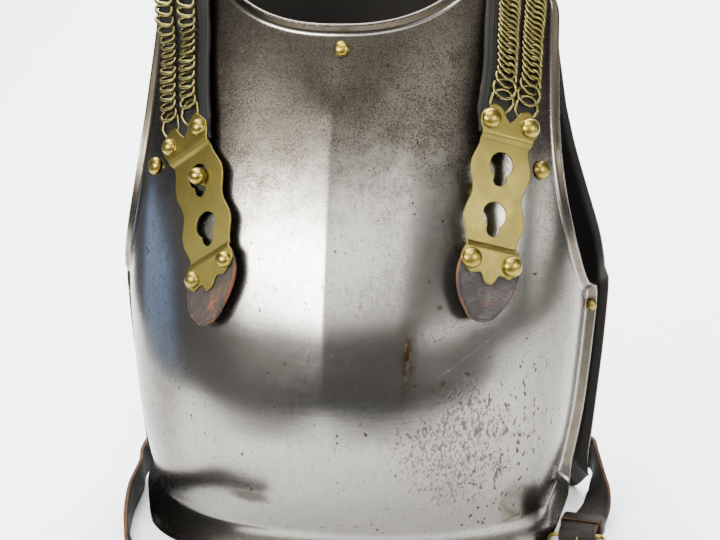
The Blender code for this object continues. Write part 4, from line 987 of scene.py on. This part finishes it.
KEEPER = dict(at=128, width=11, wall=1.6, low=-1.85, top=9.0, gap=0.65, corner=2.2, soft=0.6, skin=0.3)
place, across, along, _ = frame_at(BELT_RIGHT, KEEPER["at"], square=True)
wall = KEEPER["wall"]
half_height = (KEEPER["top"] - KEEPER["low"] + wall) / 2
loop = rounded_loop(BELT_HALF + KEEPER["gap"] + wall / 2, half_height, KEEPER["corner"])
path = (place + loop[:, :1] * across
        + (loop[:, 1:] + KEEPER["low"] - wall / 2 + half_height) * np.array((0, 0, 1.0)))
section = rounded_loop(KEEPER["width"] / 2, wall / 2, KEEPER["soft"], 4)
ring = carried(path, along, section)
flat = section[:, 0] * np.ones((len(path), 1))
around = np.cumsum(np.linalg.norm(path - np.roll(path, 1, 0), axis=1))[:, None] * np.ones(len(section))
cut = (np.abs(section[:, 0]) > KEEPER["width"] / 2 - KEEPER["skin"]) * np.ones((len(path), 1))
mesh_piece("keeper_loop", ring.reshape(-1, 3), quads(*ring.shape[:2], True, True), BELT_HIDE, "belt_leather",
           ("belt_keeper",), sharp=60, cut=cut.ravel(),
           strip=np.stack((flat, around, np.zeros_like(flat)), -1).reshape(-1, 3) * MM)


# ---------------------------------------------------------------- buckle
# A frame of brass wire, its back bar in the fold of the belt, and a prong hooked on that bar.
BUCKLE = dict(x=168.5, back=-66.8, front=-97.0, half_width=19.5, bar=1.4, corner=5.0,
              height=7.7, front_height=3.2)
BAR_SIDES = 16
deep = BUCKLE["back"] - BUCKLE["front"]
loop = rounded_loop(BUCKLE["half_width"], deep / 2, BUCKLE["corner"], 12)
share = loop[:, 1] / deep + 0.5
rise = BUCKLE["height"] - BUCKLE["front_height"]
path = np.stack((BUCKLE["x"] + loop[:, 0], (BUCKLE["back"] + BUCKLE["front"]) / 2 + loop[:, 1],
                 BUCKLE["front_height"] + share * rise), -1)
ring = carried(path, (0, 0, 1.0), round_section(BUCKLE["bar"], BAR_SIDES))
mesh_piece("buckle_wire", ring.reshape(-1, 3), quads(*ring.shape[:2], True, True), CAST_BRASS,
           "old_brass", ("buckle_frame",))

# Each row: y and the height. The prong thins to a blunt tip at both ends.
PRONG = ((-73.5, 9.2), (-82, 8.2), (-94, 6.75), (-101, 6.35))
PRONG_RADIUS = 1.4
run = np.linspace(PRONG[0][0], PRONG[-1][0], 30)
count = len(run)
path = np.stack((np.full(count, BUCKLE["x"]), run, eased([(-y, z) for y, z in PRONG], 1, -run, 2.0)), -1)
girth = np.sqrt(np.clip(1 - (np.linspace(-1, 1, count)[:, None, None] ** 8), 0.02, 1))
tube = carried(path, (1.0, 0, 0), round_section(PRONG_RADIUS, BAR_SIDES), closed=False)
tube = path[:, None] + (tube - path[:, None]) * girth
ends = [list(range(BAR_SIDES))[::-1], list(range((count - 1) * BAR_SIDES, count * BAR_SIDES))]
mesh_piece("prong_wire", tube.reshape(-1, 3), quads(count, BAR_SIDES, closed_columns=True).tolist() + ends,
           CAST_BRASS, "old_brass", ("buckle_prong",), sharp=60)


# ---------------------------------------------------------------- floor, light and camera
# A pale table top that runs back and up, lit from above. Large soft lights stand left and right of the
# front and over it, and smaller panels between them set the sheen of each part of the steel. A window
# glows bluish far to the left, and a low dark curtain in front keeps the lower reflections down.
def stage_piece(name, points, faces, material):
    mesh = bpy.data.meshes.new(name)
    mesh.from_pydata(points, [], faces)
    mesh.shade_smooth()
    mesh.materials.append(material)
    piece = bpy.data.objects.new(name, mesh)
    bpy.context.scene.collection.objects.link(piece)
    return piece


PALE = Paint("pale_table", Roughness=0.6).finish(Base_Color=(0.85, 0.86, 0.87))
TABLE_DEPTH, SWEEP_RADIUS, BACKDROP_Y, BACKDROP_TOP, RIGHT_EDGE = 1.4, 0.9, 2.3, 3.4, 1.4
sweep_share = np.linspace(0, 1, 13)
sweep = np.radians(np.linspace(10, 90, 9))
sweep_y = np.array([0, 0.2, 0.5, TABLE_DEPTH, *(TABLE_DEPTH + SWEEP_RADIUS * np.sin(sweep)), BACKDROP_Y])
sweep_z = np.array([0, 0, 0, 0, *(SWEEP_RADIUS * (1 - np.cos(sweep))), BACKDROP_TOP])
left_edge = -0.60 - 0.26 * sweep_y
table = []
for k, (left, y, z) in enumerate(zip(left_edge, sweep_y, sweep_z)):
    x = left + (RIGHT_EDGE - left) * sweep_share
    depth = y if k else -0.42 - 0.21 * x       # the table's front edge runs askew
    table.append(np.stack((x, depth * np.ones_like(x), z * np.ones_like(x)), -1))
stage_piece("table_and_backdrop", np.concatenate(table), quads(len(sweep_y), len(sweep_share)).tolist(),
            PALE)
DIM = Paint("dim_cloth", Roughness=0.9).finish(Base_Color=(0.035, 0.034, 0.034))
stage_piece("curtain", [(-0.95, -1.55, -0.9), (0.75, -1.7, -0.9), (0.75, -1.7, 0.5), (-0.95, -1.55, 0.5)],
            [(0, 1, 2, 3)], DIM)


def panel(name, place, target, width, height, power, colour=(1.0, 1.0, 1.0)):
    """A soft rectangular light that faces a point."""
    data = bpy.data.lights.new(name, "AREA")
    data.shape = "RECTANGLE"
    data.size, data.size_y = width, height
    data.energy = power
    data.color = colour
    light = bpy.data.objects.new(name, data)
    light.location = place
    light.rotation_euler = (Vector(target) - Vector(place)).to_track_quat("-Z", "Y").to_euler()
    bpy.context.scene.collection.objects.link(light)
    return light


def at_bearing(bearing, height_angle, distance):
    """A place seen from the breastplate at a bearing from straight ahead (towards +X) and a height angle."""
    b, h = math.radians(bearing), math.radians(height_angle)
    return (distance * math.sin(b) * math.cos(h), chest[1] - distance * math.cos(b) * math.cos(h),
            chest[2] + distance * math.sin(h))


chest = (0, -0.1, 0.25)
panel("left_softbox", at_bearing(-30, 20.2, 1.7), chest, 0.96, 0.36, 62)
panel("middle_panel", at_bearing(6, 25, 1.7), chest, 0.62, 0.5, 6.0)
panel("right_softbox", at_bearing(60, 19, 1.7), chest, 0.75, 0.5, 22)
panel("brow_panel", at_bearing(25, 37, 1.7), chest, 0.6, 0.3, 2.6)
panel("low_panel", at_bearing(36, 7, 1.7), chest, 0.55, 0.24, 1.3)
panel("side_panel", at_bearing(94, 5, 1.5), chest, 0.5, 0.3, 2.2)
panel("front_panel", at_bearing(12, 71, 1.4), chest, 1.2, 0.5, 30)
panel("top_panel", (-0.35, 1.3, 2.5), (-0.2, 1.15, 0), 3.0, 1.7, 440)
panel("window", at_bearing(-96, -7, 1.5), chest, 0.72, 0.5, 2.0, (0.36, 0.56, 1.0))

world = bpy.data.worlds.new("room")
world.use_nodes = True
world.node_tree.nodes["Background"].inputs["Color"].default_value = (0.22, 0.217, 0.212, 1)
world.node_tree.nodes["Background"].inputs["Strength"].default_value = 1.0
bpy.context.scene.world = world

# The camera looks at a point inside the cuirass, from a little to the right and above.
CAMERA = dict(target=(0, 9, 178), bearing=10.5, height_angle=15.5, roll=1.0, distance=1.3, lens=87.0)
target = (np.array(CAMERA["target"]) + SHIFT) * MM
azimuth, elevation, roll = (math.radians(CAMERA[key]) for key in ("bearing", "height_angle", "roll"))
ahead = np.array((-math.sin(azimuth) * math.cos(elevation), math.cos(azimuth) * math.cos(elevation),
                  -math.sin(elevation)))
right = np.array((math.cos(azimuth), math.sin(azimuth), 0))
up = np.cross(right, ahead)
right, up = right * math.cos(roll) - up * math.sin(roll), right * math.sin(roll) + up * math.cos(roll)
camera_data = bpy.data.cameras.new("camera")
camera_data.lens, camera_data.sensor_width = CAMERA["lens"], 36.0
camera = bpy.data.objects.new("camera", camera_data)
camera_place = target - ahead * CAMERA["distance"]
camera.matrix_world = Matrix((*np.stack((right, up, -ahead, camera_place), 1), (0, 0, 0, 1)))
bpy.context.scene.collection.objects.link(camera)
bpy.context.scene.camera = camera
